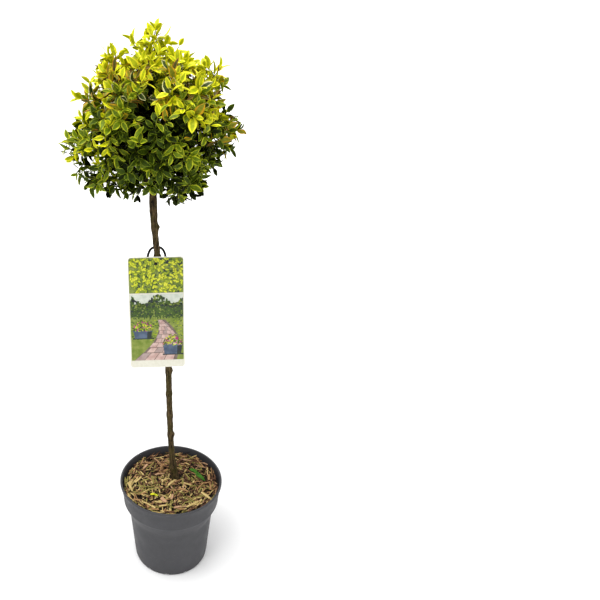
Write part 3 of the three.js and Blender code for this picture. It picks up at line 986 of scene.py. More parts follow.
@dataclass
class Trunk:
    """The clear stem: slender, slightly leaning, knuckled where leaves once stood, swollen below the head."""

    line: tuple[tuple[float, float, float], ...] = (
        (9, 14, 148.3), (4, 13, 190), (0, 11, 245), (-3, 8, 335), (-5, 5, 420), (-13, 2, 530), (-24, 0, 640),
        (-27, 0, 700), (-26, 0, 775))
    radius: float = 5.1
    tip_radius: float = 4.7
    flare: float = 6.0
    flare_height: float = 40.0
    union_swell: float = 1.1
    union_height: float = 690.0
    union_spread: float = 22.0
    knuckle: float = 1.0
    knuckle_spread: float = 6.0
    knuckles: tuple[float, ...] = (188, 262, 305, 352, 398, 446, 497, 556, 604, 655)
    scar: float = 2.0
    scar_height: float = 3.6
    buttress: float = 1.5
    buttress_height: float = 16.0
    sides: int = 26
    step: float = 2.2
    bark: BarkFinish = BarkFinish("stem_bark", "0d0905", "5a4a30", "3e3a16", "8c7c50")

    def __post_init__(self) -> None:
        """Samples the middle line."""
        self.stem = StemLine(self.line, 24)

    def radius_at(self, z: float) -> float:
        """Gives the stem's radius at a height, in millimetres.

        Args:
            z: The height.

        Returns:
            The radius.
        """
        foot, tip = self.line[0][2], self.line[-1][2]
        taper = self.radius + (self.tip_radius - self.radius) * (z - foot) / (tip - foot)
        flare = self.flare * math.exp(-(z - foot) / (self.flare_height / 2))
        knots = sum(math.exp(-(((z - k) / self.knuckle_spread) ** 2)) for k in self.knuckles)
        union = self.union_swell * math.exp(-(((z - self.union_height) / self.union_spread) ** 2))
        return taper + flare + self.knuckle * knots + union

    def relief(self, place: Vector, way: Vector, z: float) -> float:
        """Gives how far the bark stands out at a place: furrows, pores, and a bud scar at each knuckle.

        Args:
            place: The place, in metres.
            way: The direction from the stem's middle.
            z: The height, in metres.

        Returns:
            How far it stands out, in metres.
        """
        furrows = noise.noise(Vector((place.x * 620, place.y * 620, place.z * 130)))
        out = 0.25 + 0.65 * furrows + 0.26 * noise.noise(place * 1100)
        for i, knot in enumerate(self.knuckles):
            apart = (z / MM - knot - (i % 3) * 2) / self.scar_height
            if abs(apart) < 3:
                side = heading(i * 137.5 + 200, 0)
                out += self.scar * math.exp(-apart * apart) * max(0.0, way.dot(side)) ** 3
        fade = math.exp(-(z / MM - self.line[0][2]) / self.buttress_height)
        out += self.buttress * fade * math.sin(math.atan2(way.y, way.x) * 4 + 0.7)
        return out * MM

    def dress(self, dresser: Dresser) -> None:
        """Makes the stem's piece.

        Args:
            dresser: Makes and hangs the piece.
        """
        foot, tip = self.line[0][2], self.line[-1][2]
        heights = np.arange(foot, tip, self.step).tolist() + [tip]
        limb = LimbModeller(self.sides)
        limb.draw_out([self.stem.at_height(z) * MM for z in heights],
                      [self.radius_at(z) * MM for z in heights], self.relief)
        for v in limb.bm.verts:
            v.co.z = max(v.co.z, foot * MM)
        dresser.piece("stem", mesh_of(limb.bm, "stem"), [self.bark], "bark", ["trunk"])


@dataclass(frozen=True)
class Ring:
    """A ring of foliage masses round the head."""

    name: str
    count: int
    elevation: float
    turn: float
    out: float
    up: float
    foot: float


@dataclass(frozen=True)
class Patch:
    """A patch of the head's outside: its direction, its strength in the middle, and how wide it is."""

    azimuth: float
    elevation: float
    share: float
    wide: float


def strength_at(way: Vector, patches: Iterable[Patch]) -> float:
    """Adds up the patches' strength in a direction.

    Args:
        way: The direction.
        patches: The patches.

    Returns:
        The strength, as a share.
    """
    spans = ((p.share, math.degrees(way.angle(heading(p.azimuth, p.elevation))) / p.wide) for p in patches)
    return sum(share * math.exp(-apart * apart) for share, apart in spans)


@dataclass
class Shoot:
    """One leafy shoot: the way it points from the head's heart, its reach and its first pair's turn."""

    way: Vector
    reach: float
    spin: float


@dataclass(frozen=True)
class Sprig:
    """A sprig that stands out singly: where it parts from the head, and where its last leaves end."""

    foot: tuple[float, float, float]
    tip: tuple[float, float, float]


@dataclass
class Mass:
    """One mass of foliage and the bough that carries it."""

    name: str
    ring: Ring
    faces: Vector
    foot: Vector
    elbow: Vector
    tip: Vector
    shoots: list[Shoot] = field(default_factory=list)

    def heading(self) -> Vector:
        """Gives the way that the bough's tip points."""
        return (self.tip - self.elbow).normalized()


@dataclass
class Head:
    """The head's plan, laid out by the same rule and numbers as its solids."""

    trunk: Trunk
    heart: Vector = field(default_factory=lambda: Vector((-24.0, 0.0, 807.0)))
    shoot_end: tuple[float, float, float] = (92.0, 92.0, 88.0)
    shoot_spread: float = 0.16
    count: int = 76
    apart: float = 0.17
    trunk_gap: float = 19.0
    seed: int = 5
    rings: tuple[Ring, ...] = (
        Ring("top", 1, 90, 0, 0, 30, 775),
        Ring("upper", 4, 36, 38, 38, 18, 748),
        Ring("middle", 5, -4, 18, 48, -18, 731),
        Ring("lower", 4, -42, 70, 46, -54, 713),
    )
    strays: tuple[Patch, ...] = (
        Patch(0, 89, 0.25, 11), Patch(180, 55, 0.08, 14), Patch(185, -16, 0.28, 12),
        Patch(205, -38, 0.26, 24), Patch(350, 38, 0.18, 10), Patch(355, -4, 0.17, 12),
        Patch(315, -50, 0.1, 20), Patch(80, 30, 0.1, 12), Patch(60, -20, 0.12, 14),
    )

    def lay_out(self) -> list[Mass]:
        """Lays out the masses and deals the shoots out to them.

        Returns:
            The masses.
        """
        masses = []
        for ring in self.rings:
            for i in range(ring.count):
                azimuth = ring.turn + 360 * i / ring.count
                tip = self.heart + heading(azimuth, 0) * ring.out + UP * ring.up
                single = ring.count == 1
                foot = self.trunk.stem.at_height(ring.foot + (i % 2) * 7 - (0 if single else 3))
                elbow = foot.lerp(tip, 0.5) + UP * (1 if single else -4)
                name = ring.name if single else f"{ring.name}_{i + 1}"
                masses.append(Mass(name, ring, heading(azimuth, ring.elevation), foot, elbow, tip))
        for shoot in self._shoots():
            max(masses, key=lambda mass: mass.faces.dot(shoot.way)).shoots.append(shoot)
        return masses

    def reach(self, way: Vector, share: float) -> float:
        """Gives how far shoots reach from the heart.

        Args:
            way: The direction.
            share: The share of the round outline.

        Returns:
            The reach, in millimetres.
        """
        a, b, c = self.shoot_end
        return share / math.hypot(way.x / a, way.y / b, way.z / c)

    def bulge(self, way: Vector) -> float:
        """Gives how much the strays push the outline out in a direction."""
        return strength_at(way, self.strays)

    def _shoots(self) -> list[Shoot]:
        """Spreads the shoot ends over the head, the strays first.

        Returns:
            The shoots.
        """
        draws = SeededStream(self.seed)
        shoots = []
        for stray in self.strays:
            way = heading(stray.azimuth, stray.elevation)
            shoots.append(Shoot(way, self.reach(way, 1 + stray.share), draws.draw() * math.pi))
        for i in range(self.count):
            z = 1 - 2 * (i + 0.5) / self.count
            flat = math.sqrt(1 - z * z)
            turn = i * GOLDEN + (draws.draw() - 0.5) * 0.2
            way = Vector((flat * math.cos(turn), flat * math.sin(turn), z))
            reach = self.reach(way, 1 - self.shoot_spread * draws.draw() + self.bulge(way))
            spin = draws.draw() * math.pi
            near = any(s.way.angle(way) < self.apart for s in shoots[: len(self.strays)])
            if near or math.degrees(math.acos(-z)) < self.trunk_gap:
                continue
            shoots.append(Shoot(way, reach, spin))
        return shoots


@dataclass
class Boughs:
    """The main boughs, one tapering limb to each mass of foliage."""

    foot_radius: float = 2.9
    tip_radius: float = 1.9
    sides: int = 14
    steps: int = 30
    bark: BarkFinish = BarkFinish("bough_bark", "170f09", "43311f", "32300f", "5a4630", 0.3)

    def dress(self, dresser: Dresser, masses: Sequence[Mass]) -> None:
        """Makes the boughs' piece.

        Args:
            dresser: Makes and hangs the piece.
            masses: The masses that the boughs carry.
        """
        limb = LimbModeller(self.sides)
        radii = np.linspace(self.foot_radius, self.tip_radius, self.steps + 1) * MM
        for mass in masses:
            line = [spot * MM for spot in curve(mass.foot, mass.elbow, mass.tip, self.steps)]
            limb.draw_out(line, radii, self.relief)
        names = [f"bough_{mass.name}" for mass in masses]
        dresser.piece("boughs", mesh_of(limb.bm, "boughs"), [self.bark], "bark", names)

    @staticmethod
    def relief(place: Vector, way: Vector, z: float) -> float:
        """Gives how far a bough's bark stands out at a place, in metres."""
        return (0.22 * noise.noise(place * 700) + 0.2 * noise.noise(place * 240)) * MM


class Leafage(IntEnum):
    """The looks that a leaf can have: the first five are one variegated leaf painted from full light to deep
    shade, the last three are leaves of their own tint.
    """

    LEMON = 0
    LIME = 1
    DEEP = 2
    SHADE = 3
    INNER = 4
    AMBER = 5
    DRY = 6
    CREAM = 7


@dataclass(frozen=True)
class LeafLook:
    """A leaf's rim and middle finishes, and how much of its half width the middle takes."""

    rim: MottledFinish
    middle: MottledFinish
    share: float


def leaf_look(kind: Leafage, share: float, rim: tuple[str, str, float],
              middle: tuple[str, str, float]) -> LeafLook:
    """Makes a leaf's look.

    Args:
        kind: Which look it is.
        share: How much of the half width the middle takes.
        rim: The rim's two colours and its gloss.
        middle: The middle's two colours and its gloss.

    Returns:
        The look, in satin finishes.
    """
    finishes = [MottledFinish(f"{kind.name.lower()}_{part}", dark, light, 260.0, 0.5, 0.2, specular=gloss)
                for part, (dark, light, gloss) in (("rim", rim), ("middle", middle))]
    return LeafLook(*finishes, share)


# Painted light and shade: LEMON is the variegated leaf painted fully lit, LIME, DEEP and SHADE are painted in
# ever deeper shade, and the near-black look is painted deep shade inside the head; AMBER, DRY and CREAM are
# the leaves' own tints.
LOOKS: dict[Leafage, LeafLook] = {kind: leaf_look(kind, *look) for kind, look in {
    Leafage.LEMON: (0.52, ("dedc0e", "f0e832", 0.2), ("98a408", "bac20a", 0.2)),
    Leafage.LIME: (0.72, ("a6b016", "c6c92e", 0.2), ("4e6206", "6c7e08", 0.16)),
    Leafage.DEEP: (0.8, ("667812", "8e9c26", 0.16), ("263604", "425306", 0.1)),
    Leafage.SHADE: (0.82, ("344206", "546208", 0.08), ("101803", "1e2804", 0.05)),
    # Near-black copy of the leaf: painted deep shade inside the head.
    Leafage.INNER: (0.82, ("0b1103", "161e05", 0.02), ("040702", "0b1003", 0.02)),
    Leafage.AMBER: (0.62, ("b4860a", "d0a41a", 0.2), ("6a6c0a", "888a10", 0.2)),
    Leafage.DRY: (0.66, ("845414", "aa7824", 0.2), ("32360a", "50500f", 0.2)),
    Leafage.CREAM: (0.7, ("c6c080", "e0daa2", 0.2), ("26340c", "42521a", 0.2)),
}.items()}


@dataclass
class Leaf:
    """One leaf's place and shape, in millimetres."""

    root: Vector
    along: Vector
    across: Vector
    face: Vector
    length: float
    wide: float
    droop: float
    fold: float
    look: Leafage


class LeafJoiner:
    """Joins leaves into one mesh. Each leaf is a folded blade with a rim of another colour."""

    STATIONS = (0.1, 0.26, 0.48, 0.7, 0.88)
    HALF_WIDTHS = (0.07, 0.66, 1.0, 0.86, 0.46)
    MIDDLE_SHARES = (0.35, 1.0, 1.0, 1.0, 0.8)
    # Each column's side, and whether it is the blade's edge or fold, not the border of its middle
    COLUMNS = ((-1.0, True), (-1.0, False), (0.0, True), (1.0, False), (1.0, True))

    def __init__(self, seed: int) -> None:
        """Starts with no leaves.

        Args:
            seed: The seed of the rims' wander.
        """
        self.leaves: list[Leaf] = []
        self._draws = np.random.default_rng(seed)

    def mesh(self, name: str) -> Mesh:
        """Joins the leaves.

        Args:
            name: The mesh's name.

        Returns:
            The mesh.
        """
        count = len(self.leaves)
        root = np.array([leaf.root for leaf in self.leaves])
        axes = np.array([[leaf.along, leaf.across, leaf.face] for leaf in self.leaves])
        length, wide, droop, fold = np.array([[leaf.length, leaf.wide, leaf.droop, leaf.fold]
                                              for leaf in self.leaves]).T
        share = np.array([LOOKS[leaf.look].share for leaf in self.leaves])
        rows = [np.stack([np.zeros(count)] * 3, 1)]
        for u, half, narrow in zip(self.STATIONS, self.HALF_WIDTHS, self.MIDDLE_SHARES):
            for side, is_edge in self.COLUMNS:
                if is_edge:
                    out = self._draws.uniform(0.93, 1.07, count)
                else:
                    out = np.clip(share + self._draws.uniform(-0.16, 0.16, count), 0.2, 0.9) * narrow
                y = side * half * out * wide / 2
                curl = self._draws.uniform(-0.25, 0.25, count) * (abs(side) if is_edge else 0)
                rows.append(np.stack([length * u, y, fold * np.abs(y) - droop * length * u * u + curl], 1))
        rows.append(np.stack([length, np.zeros(count), -droop * length], 1))
        local = np.stack(rows, 1)
        points = root[:, None, :] + np.einsum("nkj,nji->nki", local, axes)
        base = (np.arange(count) * local.shape[1])[:, None, None]
        look = np.array([int(leaf.look) for leaf in self.leaves])[:, None]
        faces, kinds = [], []
        for shape in self._faces():
            faces.append((shape[None] + base).reshape(-1, shape.shape[1]))
            kinds.append((look * 2 + [0, 1, 1, 0] * (len(shape) // 4)).ravel())
        return mesh_from_arrays(name, points.reshape(-1, 3) * MM, faces, np.concatenate(kinds))

    @staticmethod
    def _faces() -> tuple[np.ndarray, np.ndarray]:
        """Lists one leaf's faces.

        Returns:
            Its quads and its triangles.
        """
        quads = [[1 + 5 * r + c, 1 + 5 * (r + 1) + c, 2 + 5 * (r + 1) + c, 2 + 5 * r + c]
                 for r in range(4) for c in range(4)]
        tip = 26
        triangles = [[0, 1 + c, 2 + c] for c in range(4)] + [[tip, 22 + c, 21 + c] for c in range(4)]
        return np.array(quads), np.array(triangles)


class TwigJoiner:
    """Joins twigs into one mesh of slim tapering tubes."""

    SIDES = 5

    def __init__(self) -> None:
        """Starts with no twigs."""
        self._points: list[np.ndarray] = []
        self._quads: list[np.ndarray] = []
        self._kinds: list[np.ndarray] = []
        self._count = 0
        self.spots: list[Vector] = []

    def add(self, line: Sequence[Vector], start: float, end: float, green: bool) -> None:
        """Adds a twig.

        Args:
            line: The points that it runs through, in millimetres.
            start: Its radius at the first point.
            end: Its radius at the last.
            green: Whether it is this year's growth.
        """
        self.spots.extend(line)
        spots = np.array(line)
        heads = np.gradient(spots, axis=0)
        heads /= np.linalg.norm(heads, axis=1)[:, None]
        level = np.cross(heads, [0.31, 0.22, 0.92] if abs(heads[0][2]) < 0.8 else [1.0, 0.1, 0.0])
        level /= np.linalg.norm(level, axis=1)[:, None]
        upright = np.cross(heads, level)
        ring = np.arange(self.SIDES)
        turns = (ring * 2 * math.pi / self.SIDES)[None, :, None]
        radii = np.linspace(start, end, len(spots))[:, None, None]
        wheel = np.cos(turns) * level[:, None] + np.sin(turns) * upright[:, None]
        tube = (spots[:, None] + wheel * radii).reshape(-1, 3)
        after = (ring + 1) % self.SIDES
        tip = self._count + len(tube)
        last = tip - self.SIDES
        for low in range(self._count, last, self.SIDES):
            high = low + self.SIDES
            self._quads.append(np.stack([low + ring, low + after, high + after, high + ring], 1))
        for near, far, pole in ((last + ring, last + after, tip),
                                (self._count + after, self._count + ring, tip + 1)):
            self._quads.append(np.stack([near, far, ring * 0 + pole, ring * 0 + pole], 1))
        self._kinds.append(np.full(len(tube) + self.SIDES, int(green)))
        self._points.extend([tube, (spots[-1] + heads[-1] * end)[None], (spots[0] - heads[0] * start)[None]])
        self._count = tip + 2

    def mesh(self, name: str) -> Mesh:
        """Joins the twigs.

        Args:
            name: The mesh's name.

        Returns:
            The mesh.
        """
        faces = np.concatenate(self._quads)
        kinds = np.concatenate(self._kinds)
        capped = faces[:, 2] == faces[:, 3]
        parts = [faces[~capped], faces[capped][:, :3]]
        order = np.concatenate([kinds[~capped], kinds[capped]])
        return mesh_from_arrays(name, np.concatenate(self._points) * MM, parts, order)


@dataclass
class Bench:
    """What the head is grown with: a stream of numbers, and the leaves and twigs so far."""

    draws: SeededStream
    leaves: LeafJoiner
    twigs: TwigJoiner


@dataclass
class Foliage:
    """Twigs and leaves of the head, grown on from the boughs by the solids' rule, and then finer twigs."""

    head: Head
    per_limb: int = 3
    fork: float = 0.62
    limb_radius: float = 1.5
    shoot_radius: float = 1.05
    tip_radius: float = 0.55
    leaf_length: tuple[float, float] = (16.5, 24.5)
    leaf_share: float = 0.46
    side_twigs: tuple[float, ...] = (0.3, 0.45, 0.6, 0.72, 0.86)
    side_length: tuple[float, float] = (20.0, 36.0)
    seed: int = 71
    wood: BarkFinish = BarkFinish("twig_bark", "1c150a", "4e4022", "4a4a18", "6a5c34", 0.6)
    green_wood: MottledFinish = MottledFinish("green_twig", "5a6412", "848a22", 400, 0.6, 0.2, specular=0.2)
    half_height: float = 90.0
    lean: float = 66.0
    lean_fall: float = 16.0
    lean_wander: float = 18.0
    young_lean: float = 34.0
    young_from: float = 0.95
    young_size: float = 0.78
    inner_length: tuple[float, float] = (14.0, 24.0)
    tip_growth: float = 8.0
    sprig_leaf: float = 12.0
    sprigs: tuple[Sprig, ...] = (
        Sprig((-18, 0, 912), (-23, 0, 939)), Sprig((-48, -10, 900), (-53, -10, 925)),
        Sprig((-47, 12, 910), (-30, 12, 929)), Sprig((-83, -8, 880), (-88, -8, 909)),
        Sprig((2, 4, 894), (17, 4, 917)), Sprig((-111, -6, 847), (-111, -6, 871)),
        Sprig((-123, 6, 838), (-139, 6, 846)), Sprig((-123, -14, 744), (-154, -14, 777)),
        Sprig((-119, -20, 748), (-144, -20, 735)), Sprig((-93, -16, 733), (-93, -16, 705)),
        Sprig((-116, 0, 739), (-119, 0, 714)), Sprig((-48, -24, 730), (-49, -26, 700)),
        Sprig((16, -6, 719), (22, -6, 694)), Sprig((81, -6, 796), (109, -6, 802)),
        Sprig((79, 10, 808), (102, 10, 814)), Sprig((57, -8, 855), (80, -8, 860)),
        Sprig((49, 4, 867), (70, 4, 884)), Sprig((56, 0, 760), (66, 0, 735)),
        Sprig((73, -10, 777), (95, -10, 770)),
    )
    tints: tuple[Patch, ...] = (
        Patch(229, 34, 0.45, 24), Patch(278, 38, 0.44, 22), Patch(330, 32, 0.4, 20), Patch(350, -8, 0.5, 14),
        Patch(200, 26, 0.35, 16), Patch(90, 34, 0.4, 26), Patch(150, 12, 0.3, 18), Patch(30, 26, 0.35, 20),
    )
    # Painted light and shade by direction: leaves at the left and right sides are painted brighter, those at
    # the front and high at the back right darker.
    painted_light_patches: tuple[Patch, ...] = (
        Patch(188, 4, 0.42, 26), Patch(215, -30, 0.2, 16), Patch(350, -14, 0.22, 18),
        Patch(275, -12, -0.16, 24), Patch(15, 45, -0.15, 22),
    )
    # Rungs of painted light: the lit copy of the leaf at the top, the copies painted in ever deeper shade
    # below.
    ladder: tuple[tuple[float, Leafage], ...] = (
        (0.4, Leafage.LEMON), (0.05, Leafage.LIME), (-0.34, Leafage.DEEP), (-0.72, Leafage.SHADE),
        (-math.inf, Leafage.INNER),
    )

    def dress(self, dresser: Dresser, masses: Sequence[Mass]) -> None:
        """Grows every mass, and makes a leaf piece and a twig piece for each ring of masses.

        Args:
            dresser: Makes and hangs the pieces.
            masses: The masses.
        """
        finishes = [finish for look in LOOKS.values() for finish in (look.rim, look.middle)]
        draws = SeededStream(self.seed + 991)
        for index, ring in enumerate(self.head.rings):
            leaves, twigs = LeafJoiner(self.seed + index), TwigJoiner()
            for mass in masses:
                if mass.ring is ring:
                    own = SeededStream(self.seed + masses.index(mass) * 101 + 1)
                    self._grow(mass, Bench(own, leaves, twigs))
            for sprig in self.sprigs:
                way = Vector(sprig.tip) - self.head.heart
                if max(masses, key=lambda mass: mass.faces.dot(way)).ring is ring:
                    self._stand_out(sprig, Bench(draws, leaves, twigs))
            nodes = [f"foliage_{mass.name}" for mass in masses if mass.ring is ring]
            leafy, woody = f"leaves_{ring.name}", f"twigs_{ring.name}"
            dresser.piece(leafy, leaves.mesh(leafy), finishes, "leaves", nodes)
            dresser.piece(woody, twigs.mesh(woody), [self.wood, self.green_wood], "bark")
            LOG.info("ring %s: %d leaves", ring.name, len(leaves.leaves))

    def _grow(self, mass: Mass, bench: Bench) -> None:
        """Grows one mass: its stem, limbs, shoots and side twigs.

        Args:
            mass: The mass.
            bench: What it is grown with.
        """
        way = mass.heading()
        root = mass.tip.copy()
        stem_end = root + way * 9
        bench.twigs.add([root - way * 2, root, stem_end], 1.95, 1.7, False)
        level = mass.faces.cross(Vector((0.31, 0.87, 0.12))).normalized()
        upright = level.cross(mass.faces)
        shoots = sorted(mass.shoots, key=lambda s: math.atan2(s.way.dot(upright), s.way.dot(level)))
        heart = self.head.heart
        for i in range(0, len(shoots), self.per_limb):
            group = shoots[i : i + self.per_limb]
            middle = sum((s.way * (s.reach / len(group)) for s in group), Vector())
            end = (heart + middle * self.fork).lerp(stem_end, 0.15)
            start = root.lerp(stem_end, 0.8)
            pull = start.lerp(end, 0.5) + way * ((end - start).length * 0.14)
            line = curve(start, pull, end, 8)
            bench.twigs.add(line, self.limb_radius, self.shoot_radius, False)
            self._inner_sprays(line, bench)
            for shoot in group:
                self._shoot(shoot, line, bench)

    def _shoot(self, shoot: Shoot, limb: list[Vector], bench: Bench) -> None:
        """Grows one shoot with its side twigs.

        Args:
            shoot: The shoot.
            limb: The limb's points.
            bench: What it is grown with.
        """
        draws = bench.draws
        heart = self.head.heart
        start = limb[-2].lerp(limb[-1], 0.5)
        end = heart + shoot.way * (shoot.reach + self.growth(shoot.way))
        head_way = (limb[-1] - limb[-2]).normalized()
        pull = start.lerp(end, 0.5) + head_way * ((end - start).length * 0.12)
        line = curve(start, pull, end, 10)
        bench.twigs.add(line, self.shoot_radius, self.tip_radius, False)
        self._pairs(line, (0.28, 0.46, 0.63, 0.79, 0.92, 1.0), shoot.spin, 1.0, bench)
        for n, share in enumerate(self.side_twigs):
            spot = int(share * 10)
            base, axis = line[spot], (line[spot + 1] - line[spot]).normalized()
            side = aside(axis, shoot.spin + n * 2.4 + draws.spread(0.4))
            course = (axis * 0.75 + side * 0.95 + shoot.way * 0.35 + UP * 0.12).normalized()
            length = draws.between(*self.side_length) * (1.0 - 0.25 * share)
            tip = self._within(base + course * length)
            twig = curve(base, base.lerp(tip, 0.5) + axis * length * 0.12, tip, 6)
            bench.twigs.add(twig, self.tip_radius * 1.25, self.tip_radius * 0.8, share > 0.6)
            self._pairs(twig, (0.4, 0.72, 0.98), draws.draw() * math.pi, 0.92, bench)

    def _stand_out(self, sprig: Sprig, bench: Bench) -> None:
        """Grows one sprig that stands out, from the nearest twig.

        Args:
            sprig: The sprig.
            bench: What it is grown with.
        """
        foot, tip = Vector(sprig.foot), Vector(sprig.tip)
        start = min(bench.twigs.spots, key=lambda spot: (spot - foot).length)
        tip -= (tip - foot).normalized() * self.sprig_leaf
        line = curve(start, foot, tip, 10)
        bench.twigs.add(line, self.limb_radius * 0.7, self.tip_radius * 1.3, True)
        self._pairs(line, (0.4, 0.7, 1.0), bench.draws.draw() * math.pi, 0.95, bench)

    def growth(self, way: Vector) -> float:
        """Gives how far leafy tips pass the solids' shoot ends in a direction, most where they hang."""
        return self.tip_growth * (1 + max(0.0, -way.z))

    def _within(self, tip: Vector) -> Vector:
        """Keeps a twig's tip inside the head's outline.

        Args:
            tip: The tip.

        Returns:
            The tip, drawn in if it was outside.
        """
        offset = tip - self.head.heart
        way = offset.normalized()
        most = self.head.reach(way, 0.99 + self.head.bulge(way))
        return self.head.heart + way * min(offset.length, most + self.growth(way))

    def _pairs(self, line: Sequence[Vector], shares: Sequence[float], spin: float, size: float,
               bench: Bench) -> None:
        """Adds opposite pairs of leaves up a twig, each a quarter turn from the last.

        Args:
            line: The twig's points.
            shares: How far up the pairs stand.
            spin: The first pair's turn.
            size: How large the leaves are, as a share.
            bench: What they are grown with.
        """
        draws, last = bench.draws, len(line) - 1
        # Painted light: each spray is painted brighter or darker as a whole, so some sprays look lit and
        # others shaded.
        light = draws.spread(0.5) - 0.03
        for k, share in enumerate(shares):
            at = min(last - 1, int(share * last))
            root = line[at].lerp(line[at + 1], share * last - at)
            axis = (line[at + 1] - line[at]).normalized()
            young = share > self.young_from
            high = (root.z - self.head.heart.z) / self.half_height
            thin = 0.07 + 0.3 * min(1, max(0, high - 0.45))
            for half in (0.0, math.pi):
                if not young and draws.draw() < thin:
                    continue
                side = aside(axis, spin + k * math.pi / 2 + half + draws.spread(0.3))
                lean = self.young_lean if young else self.lean - self.lean_fall * share
                lean = math.radians(lean + draws.spread(self.lean_wander))
                along = (axis * math.cos(lean) + side * math.sin(lean)).normalized()
                along = (along - UP * draws.between(-0.1, 0.16)).normalized()
                face = (axis * math.sin(lean) - side * math.cos(lean) + UP * 0.25).normalized()
                face = Matrix.Rotation(draws.spread(0.55), 3, along) @ face
                across = face.cross(along).normalized()
                face = along.cross(across)
                length = draws.between(*self.leaf_length) * size * (self.young_size if young else 1.0)
                wide = length * self.leaf_share * draws.between(0.84, 1.12)
                droop, fold = draws.between(-0.04, 0.3), draws.between(0.15, 0.5)
                look = self._look(root + along * (length * 0.5), light, draws)
                if look is Leafage.DRY:
                    wide, droop = wide * 0.55, droop + 0.2
                bench.leaves.leaves.append(Leaf(root, along, across, face, length, wide, droop, fold, look))

    def _inner_sprays(self, line: Sequence[Vector], bench: Bench) -> None:
        """Adds old leaves and short shaded sprays along a limb inside the head.

        Args:
            line: The limb's points.
            bench: What they are grown with.
        """
        draws = bench.draws
        self._pairs(line, (0.45, 0.7, 0.9), draws.draw() * math.pi, 1.1, bench)
        for spot in range(2, len(line) - 1):
            axis = (line[spot + 1] - line[spot]).normalized()
            side = aside(axis, draws.draw() * 2 * math.pi)
            tip = line[spot] + (axis * 0.5 + side).normalized() * draws.between(*self.inner_length)
            twig = [line[spot].lerp(tip, k / 4) for k in range(5)]
            bench.twigs.add(twig, self.tip_radius * 1.2, self.tip_radius * 0.8, False)
            self._pairs(twig, (0.4, 0.7, 0.98), draws.draw() * math.pi, 1.0, bench)

    def _look(self, place: Vector, light: float, draws: SeededStream) -> Leafage:
        """Chooses a leaf's look: painted light above and at the outside, painted shade below and within, and
        its own tints in patches.

        Args:
            place: The leaf's middle.
            light: How much painted light its spray gets.
            draws: The stream of numbers.

        Returns:
            The look.
        """
        offset = place - self.head.heart
        way = offset.normalized()
        deep = offset.length / self.head.reach(way, 1.0)
        high = offset.z / self.half_height
        # Painted light and shade: brighter higher up and towards the outside, darker low down and deep
        # inside.
        light += high * (1.1 if high > 0 else 0.4) - 0.2 + 1.9 * (min(deep, 1.06) - 0.9) + draws.spread(0.12)
        light += strength_at(way, self.painted_light_patches)
        tinted, kind = draws.draw(), draws.draw()
        if deep > 0.72 and tinted < strength_at(way, self.tints):
            return Leafage.AMBER if kind < 0.4 else Leafage.DRY if kind < 0.84 else Leafage.CREAM
        return next(look for least, look in self.ladder if light > least)


class PrintInk(IntEnum):
    """The inks of the label's print."""

    SHADOW = 0
    HEDGE = 1
    GRASS = 2
    LIME = 3
    LEMON = 4
    PAVING = 5
    STONE = 6
    JOINT = 7
    SLATE = 8
    PETAL = 9
    SKY = 10


INK_COLOURS: dict[PrintInk, tuple[str, str]] = {
    PrintInk.SHADOW: ("222634", "2e3a24"), PrintInk.HEDGE: ("2e4416", "445c20"),
    PrintInk.GRASS: ("647826", "848f42"), PrintInk.LIME: ("86981a", "a2b024"),
    PrintInk.LEMON: ("bac41e", "d8d83a"), PrintInk.PAVING: ("b09088", "cab0a6"),
    PrintInk.STONE: ("947e7a", "aa9892"), PrintInk.JOINT: ("5e5048", "76675e"),
    PrintInk.SLATE: ("3c4a5e", "55647a"), PrintInk.PETAL: ("98306a", "c04c88"),
    PrintInk.SKY: ("b4bcae", "ccd0c4"),
}
INKS = [MottledFinish(f"ink_{ink.name.lower()}", *colours, 110.0, 0.42, 0.02, specular=0.3)
        for ink, colours in INK_COLOURS.items()]


class PrintSheet:
    """A print made of flat shapes, each at its own small height over the card and cut to a frame."""

    STEP = 0.005

    def __init__(self, base: float) -> None:
        """Starts an empty sheet.

        Args:
            base: The height of the lowest shapes, in millimetres.
        """
        self.base = base
        self.frame = (-math.inf, -math.inf, math.inf, math.inf)
        self._points: list[tuple[float, float, float]] = []
        self._faces: dict[int, list[list[int]]] = {}
        self._inks: dict[int, list[int]] = {}

    def lay(self, outline: Sequence[tuple[float, float]], ink: PrintInk, level: int) -> None:
        """Lays one flat shape.

        Args:
            outline: Its corners.
            ink: Its ink.
            level: How high it lies, in steps.
        """
        left, low, right, high = self.frame
        start, count = len(self._points), len(outline)
        self._points.extend((min(max(x, left), right), min(max(y, low), high), self.base + level * self.STEP)
                            for x, y in outline)
        self._faces.setdefault(count, []).append(list(range(start, start + count)))
        self._inks.setdefault(count, []).append(int(ink))

    def box(self, left: float, low: float, right: float, high: float, ink: PrintInk, level: int) -> None:
        """Lays an upright rectangle between its two corners."""
        self.lay([(left, low), (right, low), (right, high), (left, high)], ink, level)

    def leaf(self, x: float, y: float, size: float, turn: float, ink: PrintInk, level: int) -> None:
        """Lays one printed leaf.

        Args:
            x: Its middle across the label.
            y: Its middle up the label.
            size: Its length.
            turn: Its turn.
            ink: Its ink.
            level: How high it lies, in steps.
        """
        c, s = math.cos(turn) * size / 2, math.sin(turn) * size / 2
        outline = [(-1.0, 0.0), (-0.35, -0.42), (0.4, -0.38), (1.0, 0.0), (0.4, 0.38), (-0.35, 0.42)]
        self.lay([(x + c * a - s * b, y + s * a + c * b) for a, b in outline], ink, level)

    def mesh(self, name: str, pose: Matrix) -> Mesh:
        """Joins the shapes.

        Args:
            name: The mesh's name.
            pose: Where the sheet lies, in metres.

        Returns:
            The mesh.
        """
        spots = np.array([pose @ (Vector(p) * MM) for p in self._points])
        sizes = sorted(self._faces)
        inks = np.concatenate([self._inks[size] for size in sizes])
        return mesh_from_arrays(name, spots, [np.array(self._faces[size]) for size in sizes], inks, False)


